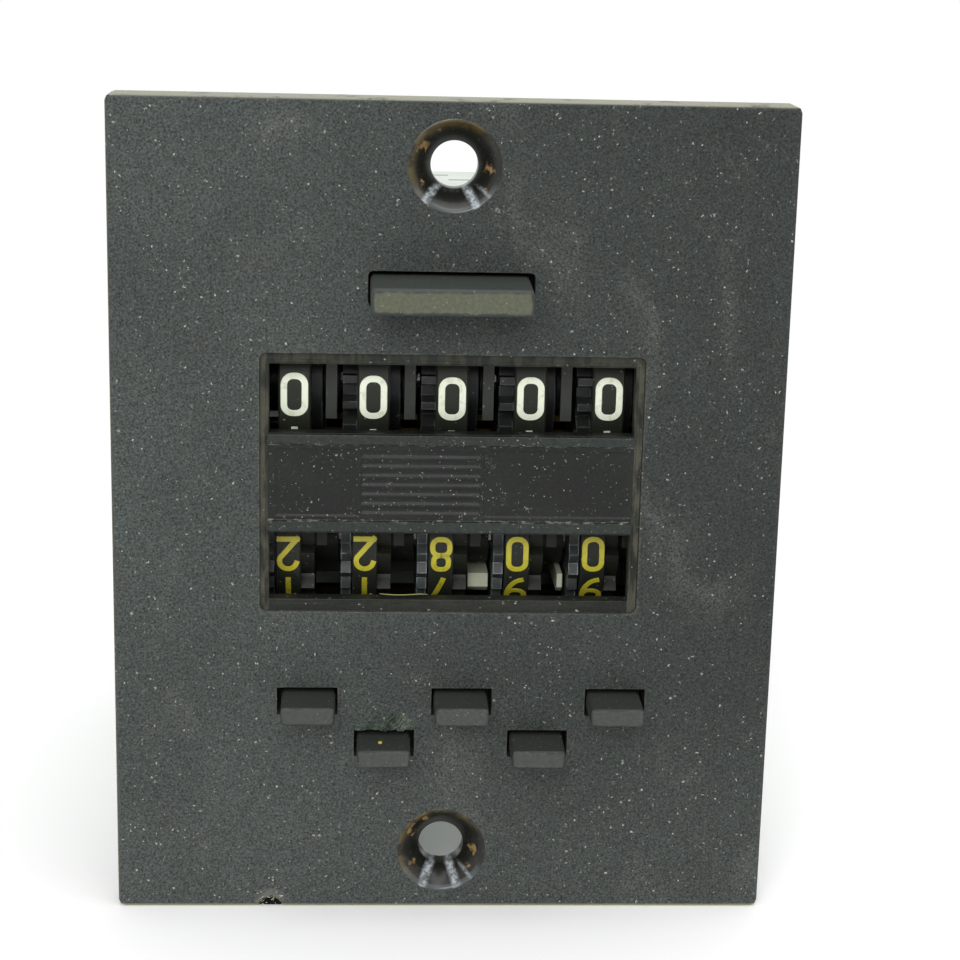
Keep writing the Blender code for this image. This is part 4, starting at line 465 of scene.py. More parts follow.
def screw_seat_material():
    """Countersink: glossy rubbed black, rust crumbs at its sides, and at its foot broken light streaks that
    are painted highlights of the gloss.

    Across and up are measured from the middle of the hole that is nearer, above or below."""
    material, tree, surface = new_material("Rubbed screw seat")
    place = object_place(tree)
    split = tree.nodes.new("ShaderNodeSeparateXYZ")
    tree.links.new(place, split.inputs[0])
    height = math_node(tree, "SUBTRACT", split.outputs["Z"], MIDDLE)
    above = math_node(tree, "SIGN", height, 0.0)
    up = math_node(tree, "SUBTRACT", height, math_node(tree, "MULTIPLY", above, HOLE_HEIGHT * MM))
    across = split.outputs["X"]
    far = math_node(tree, "SQRT", math_node(tree, "ADD", math_node(tree, "MULTIPLY", up, up),
                                            math_node(tree, "MULTIPLY", across, across)), 0.0)
    lean = math_node(tree, "SUBTRACT", up, across)
    band = math_node(tree, "MULTIPLY", ramp(tree, far, 3.1 * MM, 3.9 * MM),
                     ramp(tree, lean, -2.5 * MM, 2.0 * MM))
    smeared = ramp(tree, noise(tree, place, 900.0, 4.0), 0.35, 0.60)
    crumbs = noise(tree, place, 1500.0, 6.0, 0.72, 0.4)
    broken = ramp(tree, noise(tree, place, 2100.0, 4.0, 0.7), 0.36, 0.62)
    scuffs = ramp(tree, noise(tree, place, 3200.0, 3.0), 0.58, 0.76)
    base = mixed(tree, math_node(tree, "MULTIPLY", scuffs, 0.25), srgb(24, 24, 19), srgb(96, 98, 90))
    base = mixed(tree, math_node(tree, "MULTIPLY", math_node(tree, "MULTIPLY", band, smeared), 0.8), base,
                 srgb(88, 76, 42))
    # Painted highlights: three broken light streaks across the foot of the cone, standing in for
    # reflections.
    for slope, turn, wide, share in ((0.68, 0.18, 0.62, 0.75), (-0.49, -0.07, 0.58, 0.75),
                                     (-1.10, -0.10, 0.40, 0.35)):
        run = math_node(tree, "MULTIPLY", up, math_node(tree, "ADD", slope, math_node(
            tree, "MULTIPLY", above, turn)))
        off = math_node(tree, "ABSOLUTE", math_node(tree, "SUBTRACT", across, run), 0.0)
        rough_edge = math_node(tree, "ADD", off, math_node(tree, "MULTIPLY", noise(
            tree, place, 2600.0, 3.0), 0.30 * MM))
        sharp = ramp(tree, rough_edge, (wide + 0.2) * MM, (wide * 0.2 + 0.1) * MM)
        line = math_node(tree, "MULTIPLY", sharp, ramp(tree, up, -1.5 * MM, -2.1 * MM))
        line = math_node(tree, "MULTIPLY", line, math_node(tree, "ADD", 0.25, broken))
        base = mixed(tree, math_node(tree, "MULTIPLY", line, share), base, srgb(186, 194, 198))
    lip = math_node(tree, "MULTIPLY", ramp(tree, far, 3.55 * MM, 3.75 * MM),
                    ramp(tree, up, -1.0 * MM, -2.4 * MM))
    base = mixed(tree, math_node(tree, "MULTIPLY", lip, 0.35), base, srgb(110, 118, 120))
    spots = []
    for x_middle, height, reach in ((-2.75, 1.75, 1.0), (2.95, -0.25, 0.75), (-2.7, -1.5, 0.55),
                                    (2.5, -1.8, 0.45), (-1.5, 2.9, 0.5)):
        near = add_node(tree, "ShaderNodeVectorMath", operation="DISTANCE")
        joint = tree.nodes.new("ShaderNodeCombineXYZ")
        tree.links.new(across, joint.inputs[0])
        tree.links.new(up, joint.inputs[2])
        tree.links.new(joint.outputs[0], near.inputs[0])
        near.inputs[1].default_value = (x_middle * MM, 0.0, height * MM)
        spots.append(ramp(tree, near.outputs["Value"], reach * 1.3 * MM, reach * 0.2 * MM))
    patch = spots[0]
    for spot in spots[1:]:
        patch = math_node(tree, "MAXIMUM", patch, spot)
    rusty = ramp(tree, math_node(tree, "ADD", crumbs, math_node(tree, "MULTIPLY", patch, 0.22)), 0.67, 0.76)
    tree.links.new(mixed(tree, math_node(tree, "MULTIPLY", rusty, 0.9), base, srgb(142, 114, 70)),
                   surface.inputs["Base Color"])
    tree.links.new(math_node(tree, "ADD", 0.24, math_node(tree, "MULTIPLY", rusty, 0.35)),
                   surface.inputs["Roughness"])
    surface.inputs["Specular IOR Level"].default_value = 0.4
    add_bump(tree, surface, noise(tree, place, 2400.0, 2.0), 0.12, 0.03)
    return material


def bar_material():
    """Insert's bar: darker in the grooves as painted shade, paler on the raised strips and pads as painted
    light, with pale lines along two step edges that are settled dust and painted highlights.
    """
    material, tree, surface = new_material("Grooved bar")
    place = object_place(tree)
    split = tree.nodes.new("ShaderNodeSeparateXYZ")
    tree.links.new(place, split.inputs[0])
    # Painted shade: the deeper a point lies, the darker its colour, so the grooves look shaded.
    raised = ramp(tree, split.outputs["Y"], FRONT + 0.62 * MM, FRONT + 0.34 * MM)
    grains = placed_group(tree, "grain", Scale=4200.0, Clouds=160.0)
    specks = placed_group(tree, "dust", Amount=0.9, Scale=1500.0)
    cloudy = mixed(tree, ramp(tree, grains.outputs["Cloud"], 0.4, 0.65), srgb(26, 29, 27), srgb(35, 38, 35))
    groove_shaded = mixed(tree, raised, mixed(tree, 0.5, cloudy, srgb(24, 25, 23)), cloudy)
    # Painted light: the most forward strips are made paler, as if lit.
    strips = ramp(tree, split.outputs["Y"], FRONT + 0.36 * MM, FRONT + 0.30 * MM)
    lit = mixed(tree, math_node(tree, "MULTIPLY", strips, 0.8), groove_shaded, srgb(44, 49, 46))
    shade_value = math_node(tree, "ADD", math_node(tree, "MULTIPLY", math_node(
        tree, "SUBTRACT", grains.outputs["Grain"], 0.5), 2.0), 1.0)
    grey = tree.nodes.new("ShaderNodeCombineColor")
    for socket in grey.inputs[:3]:
        tree.links.new(shade_value, socket)
    toned = mixed(tree, 1.0, lit, grey.outputs[0], "MULTIPLY")
    height = math_node(tree, "DIVIDE", math_node(tree, "SUBTRACT", split.outputs["Z"], MIDDLE), MM)
    drift = ramp(tree, noise(tree, object_place(tree, (1.0, 1.0, 3.0)), 1500.0, 4.0), 0.50, 0.64)
    # Pale broken lines along two step edges: settled dust, and painted highlights on those edges.
    for edge in (6.92, -0.08):
        gap = math_node(tree, "ABSOLUTE", math_node(tree, "SUBTRACT", height, edge), 0.0)
        line = math_node(tree, "MULTIPLY", ramp(tree, gap, 0.16, 0.03), drift)
        toned = mixed(tree, math_node(tree, "MULTIPLY", line, 0.7), toned, srgb(128, 130, 118))
    tree.links.new(mixed(tree, specks.outputs["Mask"], toned, srgb(170, 172, 160)),
                   surface.inputs["Base Color"])
    tree.links.new(math_node(tree, "ADD", 0.30, math_node(tree, "MULTIPLY", grains.outputs["Cloud"], 0.2)),
                   surface.inputs["Roughness"])
    surface.inputs["Specular IOR Level"].default_value = 0.22
    add_bump(tree, surface, grains.outputs["Height"], 0.2, 0.02)
    return material


def recess_material():
    """Window's border: dusty and scraped at its sides, dark and bare at its foot."""
    material = plastic("Dusty recess", srgb(30, 32, 28), srgb(40, 42, 37), 0.9, srgb(70, 72, 63), 0.35,
                       0.42, 0.3, grain=3000.0, contrast=0.8)
    tree = material.node_tree
    surface = tree.nodes["Principled BSDF"]
    bare = surface.inputs["Base Color"].links[0].from_socket
    split = tree.nodes.new("ShaderNodeSeparateXYZ")
    place = object_place(tree)
    tree.links.new(place, split.inputs[0])
    low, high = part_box("window_frame")
    left = ramp(tree, split.outputs["X"], low.x + 0.66 * MM, low.x + 0.5 * MM)
    right = ramp(tree, split.outputs["X"], high.x - 0.66 * MM, high.x - 0.5 * MM)
    sides = math_node(tree, "MAXIMUM", left, right)
    head = ramp(tree, split.outputs["Z"], high.z - 0.9 * MM, high.z - 0.7 * MM)
    smeared = ramp(tree, noise(tree, object_place(tree, (1.0, 1.0, 0.25)), 1400.0, 4.0), 0.38, 0.62)
    dust = math_node(tree, "MULTIPLY", smeared, math_node(
        tree, "MAXIMUM", math_node(tree, "MULTIPLY", sides, 0.85), math_node(tree, "MULTIPLY", head, 0.4)))
    tree.links.new(mixed(tree, dust, bare, srgb(78, 77, 65)), surface.inputs["Base Color"])
    return material


def cover_material():
    """Cover: pale grey plastic, darker inside its walls as painted shade where less light reaches; the inner
    walls are told by their place in its box.
    """
    material = plastic("Pale cover", srgb(206, 214, 206), srgb(194, 202, 192), 0.3, srgb(216, 220, 212),
                       0.3, 0.5, 0.15, contrast=0.10, specular=0.35)
    tree = material.node_tree
    surface = tree.nodes["Principled BSDF"]
    outer = surface.inputs["Base Color"].links[0].from_socket
    split = tree.nodes.new("ShaderNodeSeparateXYZ")
    tree.links.new(object_place(tree), split.inputs[0])
    low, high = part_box("rear_cover")
    half = (high.x - low.x) / 2 - 0.7 * MM
    side = ramp(tree, math_node(tree, "ABSOLUTE", split.outputs["X"], 0.0), half, half - 0.1 * MM)
    up = math_node(tree, "ABSOLUTE", math_node(tree, "SUBTRACT", split.outputs["Z"], MIDDLE), 0.0)
    level = ramp(tree, up, half, half - 0.1 * MM)
    deep = ramp(tree, split.outputs["Y"], high.y - 0.7 * MM, high.y - 0.8 * MM)
    # Painted shade: the inner walls are made darker, as if less light reached them.
    inside = math_node(tree, "MULTIPLY", math_node(tree, "MULTIPLY", side, level), deep)
    tree.links.new(mixed(tree, inside, outer, srgb(92, 98, 90)), surface.inputs["Base Color"])
    return material


def key_face_material(name, face, rim, box, inset, share):
    """Key: dark plastic whose front face is paler inside a dark uneven rim; the paler face is painted light
    from the front, and the darker colour of its top and sides is painted shade.
    """
    material, tree, surface = new_material(name)
    place = object_place(tree)
    split = tree.nodes.new("ShaderNodeSeparateXYZ")
    tree.links.new(place, split.inputs[0])
    wander = math_node(tree, "MULTIPLY", math_node(tree, "SUBTRACT", noise(tree, place, 900.0, 4.0), 0.5),
                       0.7 * MM)
    (left, front, low), (right, _, high) = box
    near = []
    for axis, lower, upper in (("X", left, right), ("Z", low, high)):
        for bound, sign in ((lower, 1.0), (upper, -1.0)):
            gap = math_node(tree, "MULTIPLY", math_node(tree, "SUBTRACT", split.outputs[axis], bound), sign)
            near.append(gap)
    closest = near[0]
    for gap in near[1:]:
        closest = math_node(tree, "MINIMUM", closest, gap)
    inside = ramp(tree, math_node(tree, "ADD", closest, wander), inset * 0.6, inset * 1.4)
    at_front = ramp(tree, split.outputs["Y"], front + 0.35 * MM, front + 0.12 * MM)
    mask = math_node(tree, "MULTIPLY", math_node(tree, "MULTIPLY", inside, at_front), share)
    grains = placed_group(tree, "grain", Scale=3000.0)
    specks = placed_group(tree, "dust", Amount=0.7, Scale=1500.0)
    edges = placed_group(tree, "edge", Radius=0.00015)
    mottled = mixed(tree, ramp(tree, grains.outputs["Grain"], 0.35, 0.65), face,
                    tuple(c * 0.78 for c in face))
    # Painted light: the front face gets the colour lit from the front, the margin, top and sides the darker,
    # shaded colour.
    base = mixed(tree, mask, rim, mottled)
    worn = mixed(tree, math_node(tree, "MULTIPLY", edges.outputs["Mask"], 0.30), base, srgb(84, 88, 78))
    dusty = mixed(tree, specks.outputs["Mask"], worn, srgb(168, 170, 156))
    tree.links.new(dusty, surface.inputs["Base Color"])
    tree.links.new(math_node(tree, "ADD", 0.42, math_node(tree, "MULTIPLY", mask, 0.22)),
                   surface.inputs["Roughness"])
    surface.inputs["Specular IOR Level"].default_value = 0.22
    add_bump(tree, surface, grains.outputs["Height"], 0.15, 0.03)
    return material


def digit_paint(name, colour, grime):
    """Printed digit paint, a little worn and grimy."""
    material, tree, surface = new_material(name)
    place = object_place(tree)
    dirt = ramp(tree, noise(tree, place, 1500.0, 5.0), 0.50, 0.72)
    tree.links.new(mixed(tree, math_node(tree, "MULTIPLY", dirt, 0.45), colour, grime),
                   surface.inputs["Base Color"])
    surface.inputs["Roughness"].default_value = 0.45
    add_bump(tree, surface, noise(tree, place, 4000.0, 2.0), 0.1, 0.01)
    return material


# Shapes shared by several pieces

def turned_ring(surfaces, profile, axis, centre_x, steps=96, material=0, tooth=None, turn=0.0):
    """Closed profile of (x, radius) points carried round an axis along X.

    The point at angle a lies at depth = axis depth - r cos a and height = axis height + r sin a,
    where r is the profile's radius, lowered by the tooth function's share wherever it is marked."""
    angle = np.linspace(0.0, TAU, steps, endpoint=False)[:, None] + turn
    x = np.array([point[0] for point in profile])[None, :] + centre_x
    radius = np.array([point[1] for point in profile])[None, :]
    if tooth is not None:
        marked = np.array([len(point) > 2 for point in profile])[None, :]
        radius = np.where(marked, tooth(angle - turn), radius)
    depth = axis[0] - radius * np.cos(angle)
    height = axis[1] + radius * np.sin(angle)
    surfaces.add(placed(x, depth, height), material, True, True)


def gear_radius(teeth, tip, root, tip_share, root_share, phase):
    """Radius of straight-flanked teeth at each angle: tip near a tooth's middle, root between teeth."""
    def radius(angle):
        place = np.abs((((angle - phase) * teeth / TAU) + 0.5) % 1.0 - 0.5)
        share = np.clip((root_share / 2 - place) / (root_share / 2 - tip_share / 2), 0.0, 1.0)
        return root + (tip - root) * share
    return radius


def saw_radius(teeth, tip, root, phase, lean):
    """Radius of ratchet teeth: a steep fall over the lean's share of a step, then an even slope up."""
    def radius(angle):
        place = ((angle - phase) * teeth / TAU) % 1.0
        fall = tip + (root - tip) * place / lean
        rise = root + (tip - root) * (place - lean) / (1.0 - lean)
        return np.where(place < lean, fall, rise)
    return radius


def disc_profile(left, right, outer, inner, chamfer):
    """Closed section of a disc with chamfered outer edges."""
    return [(left, inner), (left, outer - chamfer), (left + chamfer, outer),
            (right - chamfer, outer), (right, outer - chamfer), (right, inner)]


def toothed_profile(left, right, inner):
    """Closed section of a toothed disc; its outer points take the tooth function's radius."""
    return [(left, inner), (left, 0.0, True), (right, 0.0, True), (right, inner)]


def arc(centre_x, centre_y, radius_x, radius_y, first, last, steps=14):
    """Points of an elliptic arc between two angles in degrees."""
    angle = np.radians(np.linspace(first, last, steps))
    return np.stack([centre_x + radius_x * np.cos(angle), centre_y + radius_y * np.sin(angle)], axis=-1)


def joined(*parts):
    """Polyline through points and arcs in turn."""
    return np.concatenate([np.atleast_2d(np.array(part, dtype=float)) for part in parts])


def rounded_loop(half_width, half_height, radius, centre=(0.0, 0.0), steps=8):
    """Closed loop of an upright oblong with round corners."""
    x, y = half_width - radius, half_height - radius
    cx, cy = centre
    return joined(arc(cx + x, cy + y, radius, radius, 0, 90, steps),
                  arc(cx - x, cy + y, radius, radius, 90, 180, steps),
                  arc(cx - x, cy - y, radius, radius, 180, 270, steps),
                  arc(cx + x, cy - y, radius, radius, 270, 360, steps))


def digit_lines(digit, width, height):
    """Centre lines of a plain upright digit: (points, closed) for each stroke, around its middle."""
    w, h = width / 2, height / 2
    r = w * 0.85
    if digit == 0:
        return [(rounded_loop(w, h, r), True)]
    if digit == 1:
        return [(joined((0.0, -h), (0.0, h)), False), (joined((-w * 0.75, h * 0.62), (0.0, h)), False)]
    if digit == 2:
        bowl = arc(0.0, h - w, w, w, 165, -28, 22)
        return [(joined(bowl, (-w, -h)), False), (joined((-w, -h), (w, -h)), False)]
    if digit == 3:
        return [(arc(0.0, h * 0.5, w * 0.95, h * 0.5, 155, -90, 22), False),
                (arc(0.0, -h * 0.5, w, h * 0.5, 90, -155, 24), False)]
    if digit == 4:
        return [(joined((w * 0.35, h), (-w, -h * 0.35), (w, -h * 0.35)), False),
                (joined((w * 0.45, h * 0.15), (w * 0.45, -h)), False)]
    if digit == 5:
        return [(joined((w * 0.9, h), (-w * 0.8, h), (-w * 0.9, h * 0.08)), False),
                (arc(-w * 0.05, -h * 0.38, w * 1.0, h * 0.62, 135, -150, 26), False)]
    if digit == 6:
        return [(rounded_loop(w, h * 0.52, r, (0.0, -h * 0.48)), True),
                (joined(arc(w * 0.8, -h * 0.30, w * 1.8, h * 1.30, 180, 98, 18)), False)]
    if digit == 7:
        return [(joined((-w, h), (w, h), (-w * 0.25, -h)), False)]
    if digit == 8:
        return [(rounded_loop(w * 0.86, h * 0.48, r * 0.8, (0.0, h * 0.52)), True),
                (rounded_loop(w, h * 0.52, r * 0.9, (0.0, -h * 0.48)), True)]
    six = digit_lines(6, width, height)
    return [(-points, closed) for points, closed in six]


def resampled(points, closed, spacing):
    """Points at even steps along a line through the given points."""
    line = np.vstack([points, points[:1]]) if closed else points
    step = np.linalg.norm(np.diff(line, axis=0), axis=1)
    keep = np.concatenate([[True], step > 1e-6])
    line = line[keep]
    run = np.concatenate([[0.0], np.cumsum(np.linalg.norm(np.diff(line, axis=0), axis=1))])
    count = max(3, int(run[-1] / spacing))
    at = np.linspace(0.0, run[-1], count, endpoint=not closed)
    return np.stack([np.interp(at, run, line[:, k]) for k in (0, 1)], axis=-1)


def wrapped_digit(surfaces, digit, size, stroke, axis, radius, middle, angle, material, rise=0.035):
    """Digit painted on a wheel, upside down: each stroke is a low ridge carried along its centre line.

    Across the line the ridge has four points, two at the wheel's skin and two raised; a point at s
    along the wheel's face lies at the angle s / radius from the digit's middle."""
    width, height = size[0] - stroke, size[1] - stroke
    for points, closed in digit_lines(digit, width, height):
        line = resampled(-points, closed, 0.09)
        along = np.gradient(line, axis=0)
        if closed:
            along = (np.roll(line, -1, axis=0) - np.roll(line, 1, axis=0)) / 2
        else:
            ends = along[[0, -1]] / np.linalg.norm(along[[0, -1]], axis=1)[:, None]
            line = np.vstack([line[:1] - ends[:1] * stroke / 2, line, line[-1:] + ends[1:] * stroke / 2])
            along = np.vstack([along[:1], along, along[-1:]])
        across = np.stack([-along[:, 1], along[:, 0]], axis=-1)
        across /= np.linalg.norm(across, axis=1)[:, None]
        side = np.array((-0.5, -0.44, 0.44, 0.5)) * stroke
        lift = np.array((-0.02, rise, rise, -0.02))
        flat = line[:, None, :] + across[:, None, :] * side[None, :, None]
        turn = angle + flat[..., 1] / radius
        out = radius + lift[None, :]
        grid = placed(middle + flat[..., 0], axis[0] - out * np.cos(turn), axis[1] + out * np.sin(turn))
        if not closed:
            grid = np.concatenate([grid[:1] * 0 + grid[:1].mean(axis=1, keepdims=True), grid,
                                   grid[:1] * 0 + grid[-1:].mean(axis=1, keepdims=True)])
        surfaces.add(grid, material, closed, True)


def coil(surfaces, middle, radius, first, last, turns, wire=0.16):
    """Wire wound along the depth: a small circle carried along a helix, whose angle grows evenly.

    The end turns lie flat: the depth stands still over the first and last half turn."""
    share = np.linspace(0.0, 1.0, turns * 20 + 1)[:, None]
    turn = TAU * turns * share
    ends = 0.5 / turns
    climb = np.clip((share - ends) / (1 - 2 * ends), 0.0, 1.0)
    depth = first + wire + (last - first - 2 * wire) * climb
    around = np.linspace(0.0, TAU, 8, endpoint=False)[None, :]
    thin = np.full(share.shape, wire)
    thin[0] = thin[-1] = 0.0
    out = radius + thin * np.cos(around)
    surfaces.add(placed(middle[0] + out * np.cos(turn), depth + thin * np.sin(around),
                        middle[1] + out * np.sin(turn)), 0, False, True)


# Settings

class CounterSettings(bpy.types.PropertyGroup):
    """Sizes and colours that a user would change."""
    # The plate's two colours hold painted light: the left one is lit, the right one shaded.
    plate_lit_left: bpy.props.FloatVectorProperty(
        name="Plate, left", description="Colour of the plate at its left edge", subtype="COLOR",
        size=3, min=0.0, max=1.0, default=srgb(63, 68, 65))
    plate_shaded_right: bpy.props.FloatVectorProperty(
        name="Plate, right", description="Colour of the plate at its right edge", subtype="COLOR",
        size=3, min=0.0, max=1.0, default=srgb(45, 49, 46))
    white_paint: bpy.props.FloatVectorProperty(
        name="Count digits", description="Paint of the upper row's digits", subtype="COLOR",
        size=3, min=0.0, max=1.0, default=srgb(234, 240, 218))
    yellow_paint: bpy.props.FloatVectorProperty(
        name="Preset digits", description="Paint of the lower row's digits", subtype="COLOR",
        size=3, min=0.0, max=1.0, default=srgb(196, 186, 48))
    floor_colour: bpy.props.FloatVectorProperty(
        name="Floor", description="Colour of the pale floor", subtype="COLOR",
        size=3, min=0.0, max=1.0, default=(0.97, 0.97, 0.97))
    count_digit_height: bpy.props.FloatProperty(
        name="Count digit height", description="Height of an upper digit",
        unit="LENGTH", default=4.06 * MM, min=1.0 * MM, max=5.0 * MM)
    count_digit_width: bpy.props.FloatProperty(
        name="Count digit width", description="Width of an upper digit",
        unit="LENGTH", default=2.5 * MM, min=1.0 * MM, max=2.8 * MM)
    preset_digit_height: bpy.props.FloatProperty(
        name="Preset digit height", description="Height of a lower digit",
        unit="LENGTH", default=3.4 * MM, min=1.0 * MM, max=4.0 * MM)
    preset_digit_width: bpy.props.FloatProperty(
        name="Preset digit width", description="Width of a lower digit",
        unit="LENGTH", default=2.1 * MM, min=1.0 * MM, max=2.2 * MM)
    plate_edge: bpy.props.FloatProperty(
        name="Plate edge", description="Rounding of the plate's edges",
        unit="LENGTH", default=0.12 * MM, min=0.02 * MM, max=0.5 * MM)


class PieceOperator:
    """What the operators share: the settings, and a refusal to finish without the frame."""
    bl_options = {"REGISTER", "UNDO"}

    def execute(self, context):
        if not frame["nodes"]:
            raise RuntimeError("The frame holds no nodes.")
        self.make(context.scene.counter_settings)
        return {"FINISHED"}


MATERIALS = {}


class COUNTER_OT_finishes(PieceOperator, bpy.types.Operator):
    """Make the shared effects and the materials"""
    bl_idname = "counter.finishes"
    bl_label = "Finishes"

    def make(self, settings):
        GROUPS.update(grain=grain_group(), dust=dust_group(), edge=edge_group())
        MATERIALS.update(
            plate=plate_material(settings),
            seat=screw_seat_material(),
            bar=bar_material(),
            recess=recess_material(),
            wheel=plastic("Wheel plastic", srgb(36, 38, 31), srgb(43, 45, 38), 0.6, srgb(76, 78, 68),
                          0.4, 0.45, 0.1),
            teeth=plastic("Gear plastic", srgb(34, 36, 34), srgb(44, 46, 44), 0.4, srgb(104, 110, 112),
                          0.6, 0.38, 0.1),
            ratchet=plastic("Ratchet plastic", srgb(54, 58, 56), srgb(70, 74, 73), 0.4,
                            srgb(160, 170, 176), 0.8, 0.36, 0.1),
            rake=plastic("Grey rake", srgb(50, 52, 48), srgb(60, 62, 58), 0.5, srgb(90, 94, 88), 0.4,
                         0.42, 0.1),
            comb=plastic("Black comb", srgb(26, 25, 25), srgb(34, 33, 32), 0.3, srgb(56, 56, 54), 0.3,
                         0.5, 0.1),
            cream=plastic("Cream lever", srgb(214, 218, 194), srgb(198, 202, 176), 0.2,
                          srgb(222, 222, 204), 0.3, 0.55, 0.1, contrast=0.12),
            case=cover_material(),
            board=plastic("Brown board", srgb(84, 58, 36), srgb(68, 46, 28), 0.4, srgb(120, 94, 68),
                          0.4, 0.5, 0.15),
            steel=metal("Dull steel", srgb(176, 176, 172)),
            spring=metal("Spring steel", srgb(168, 168, 166), 0.28),
            brass=metal("Brass", srgb(186, 152, 86), 0.32),
            # Painted shade: the pinions' brass is made nearly black so the gap they sit in looks dark.
            pinion=metal("Oiled brass darkened as painted shade", srgb(66, 55, 34), 0.40, (0.02, 0.02, 0.015), 0.7),
            guide=plastic("Dark board", srgb(52, 38, 27), srgb(42, 31, 22), 0.4, srgb(96, 76, 56),
                          0.4, 0.5, 0.15),
            copper=metal("Enamelled copper", srgb(132, 66, 36), 0.34),
            white=digit_paint("White paint", tuple(settings.white_paint), srgb(168, 166, 138)),
            yellow=digit_paint("Yellow paint", tuple(settings.yellow_paint), srgb(104, 96, 34)),
            crust=plastic("Pale residue", srgb(50, 60, 54), srgb(80, 92, 82), 1.0,
                          srgb(126, 134, 120), 0.6, 0.6, 0.6, contrast=1.0),
            # Painted shade: the chip's hollow is made darker than the plate, as a cavity in shadow.
            hollow=plastic("Torn plastic darkened as painted shade", srgb(22, 23, 20), srgb(36, 37, 32), 0.3, srgb(84, 84, 74),
                           0.5, 0.6, 0.6, contrast=1.2),
            spot=plastic("Yellow spot", srgb(196, 190, 70), srgb(170, 160, 60), 0.0, srgb(200, 190, 90),
                         0.2, 0.5, 0.1),
            thread=plastic("Yellowish thread", srgb(150, 152, 96), srgb(120, 122, 80), 0.0,
                           srgb(170, 172, 120), 0.2, 0.6, 0.1),
            fibre=plastic("Fibres", srgb(206, 206, 188), srgb(170, 168, 140), 0.0, srgb(214, 214, 200),
                          0.2, 0.7, 0.1),
        )
        for part, upper in (("reset", True), ("preset", False)):
            for number in ([""] if upper else [f"_{k}" for k in range(1, WHEELS + 1)]):
                node = "reset_key" if upper else f"preset_key{number}"
                low, high = cap_box(node)
                # First colour: key face lit from the front; second: painted shade for its rim, top and
                # sides.
                MATERIALS[node] = key_face_material(
                    f"Rubbed {node}".replace("_", " "), srgb(94, 97, 80) if upper else srgb(70, 74, 70),
                    srgb(56, 60, 57) if upper else srgb(46, 49, 45), (low, high),
                    (0.30 if upper else 0.12) * MM, 0.95)


def cap_box(node):
    """Corners of a key's cap in metres, from its node's points within 0.5 mm of its front."""
    data = frame["nodes"][node].data
    points = np.empty(len(data.vertices) * 3)
    data.vertices.foreach_get("co", points)
    points = points.reshape(-1, 3)
    front = points[points[:, 1] < points[:, 1].min() + 0.5 * MM]
    return front.min(axis=0).tolist(), front.max(axis=0).tolist()


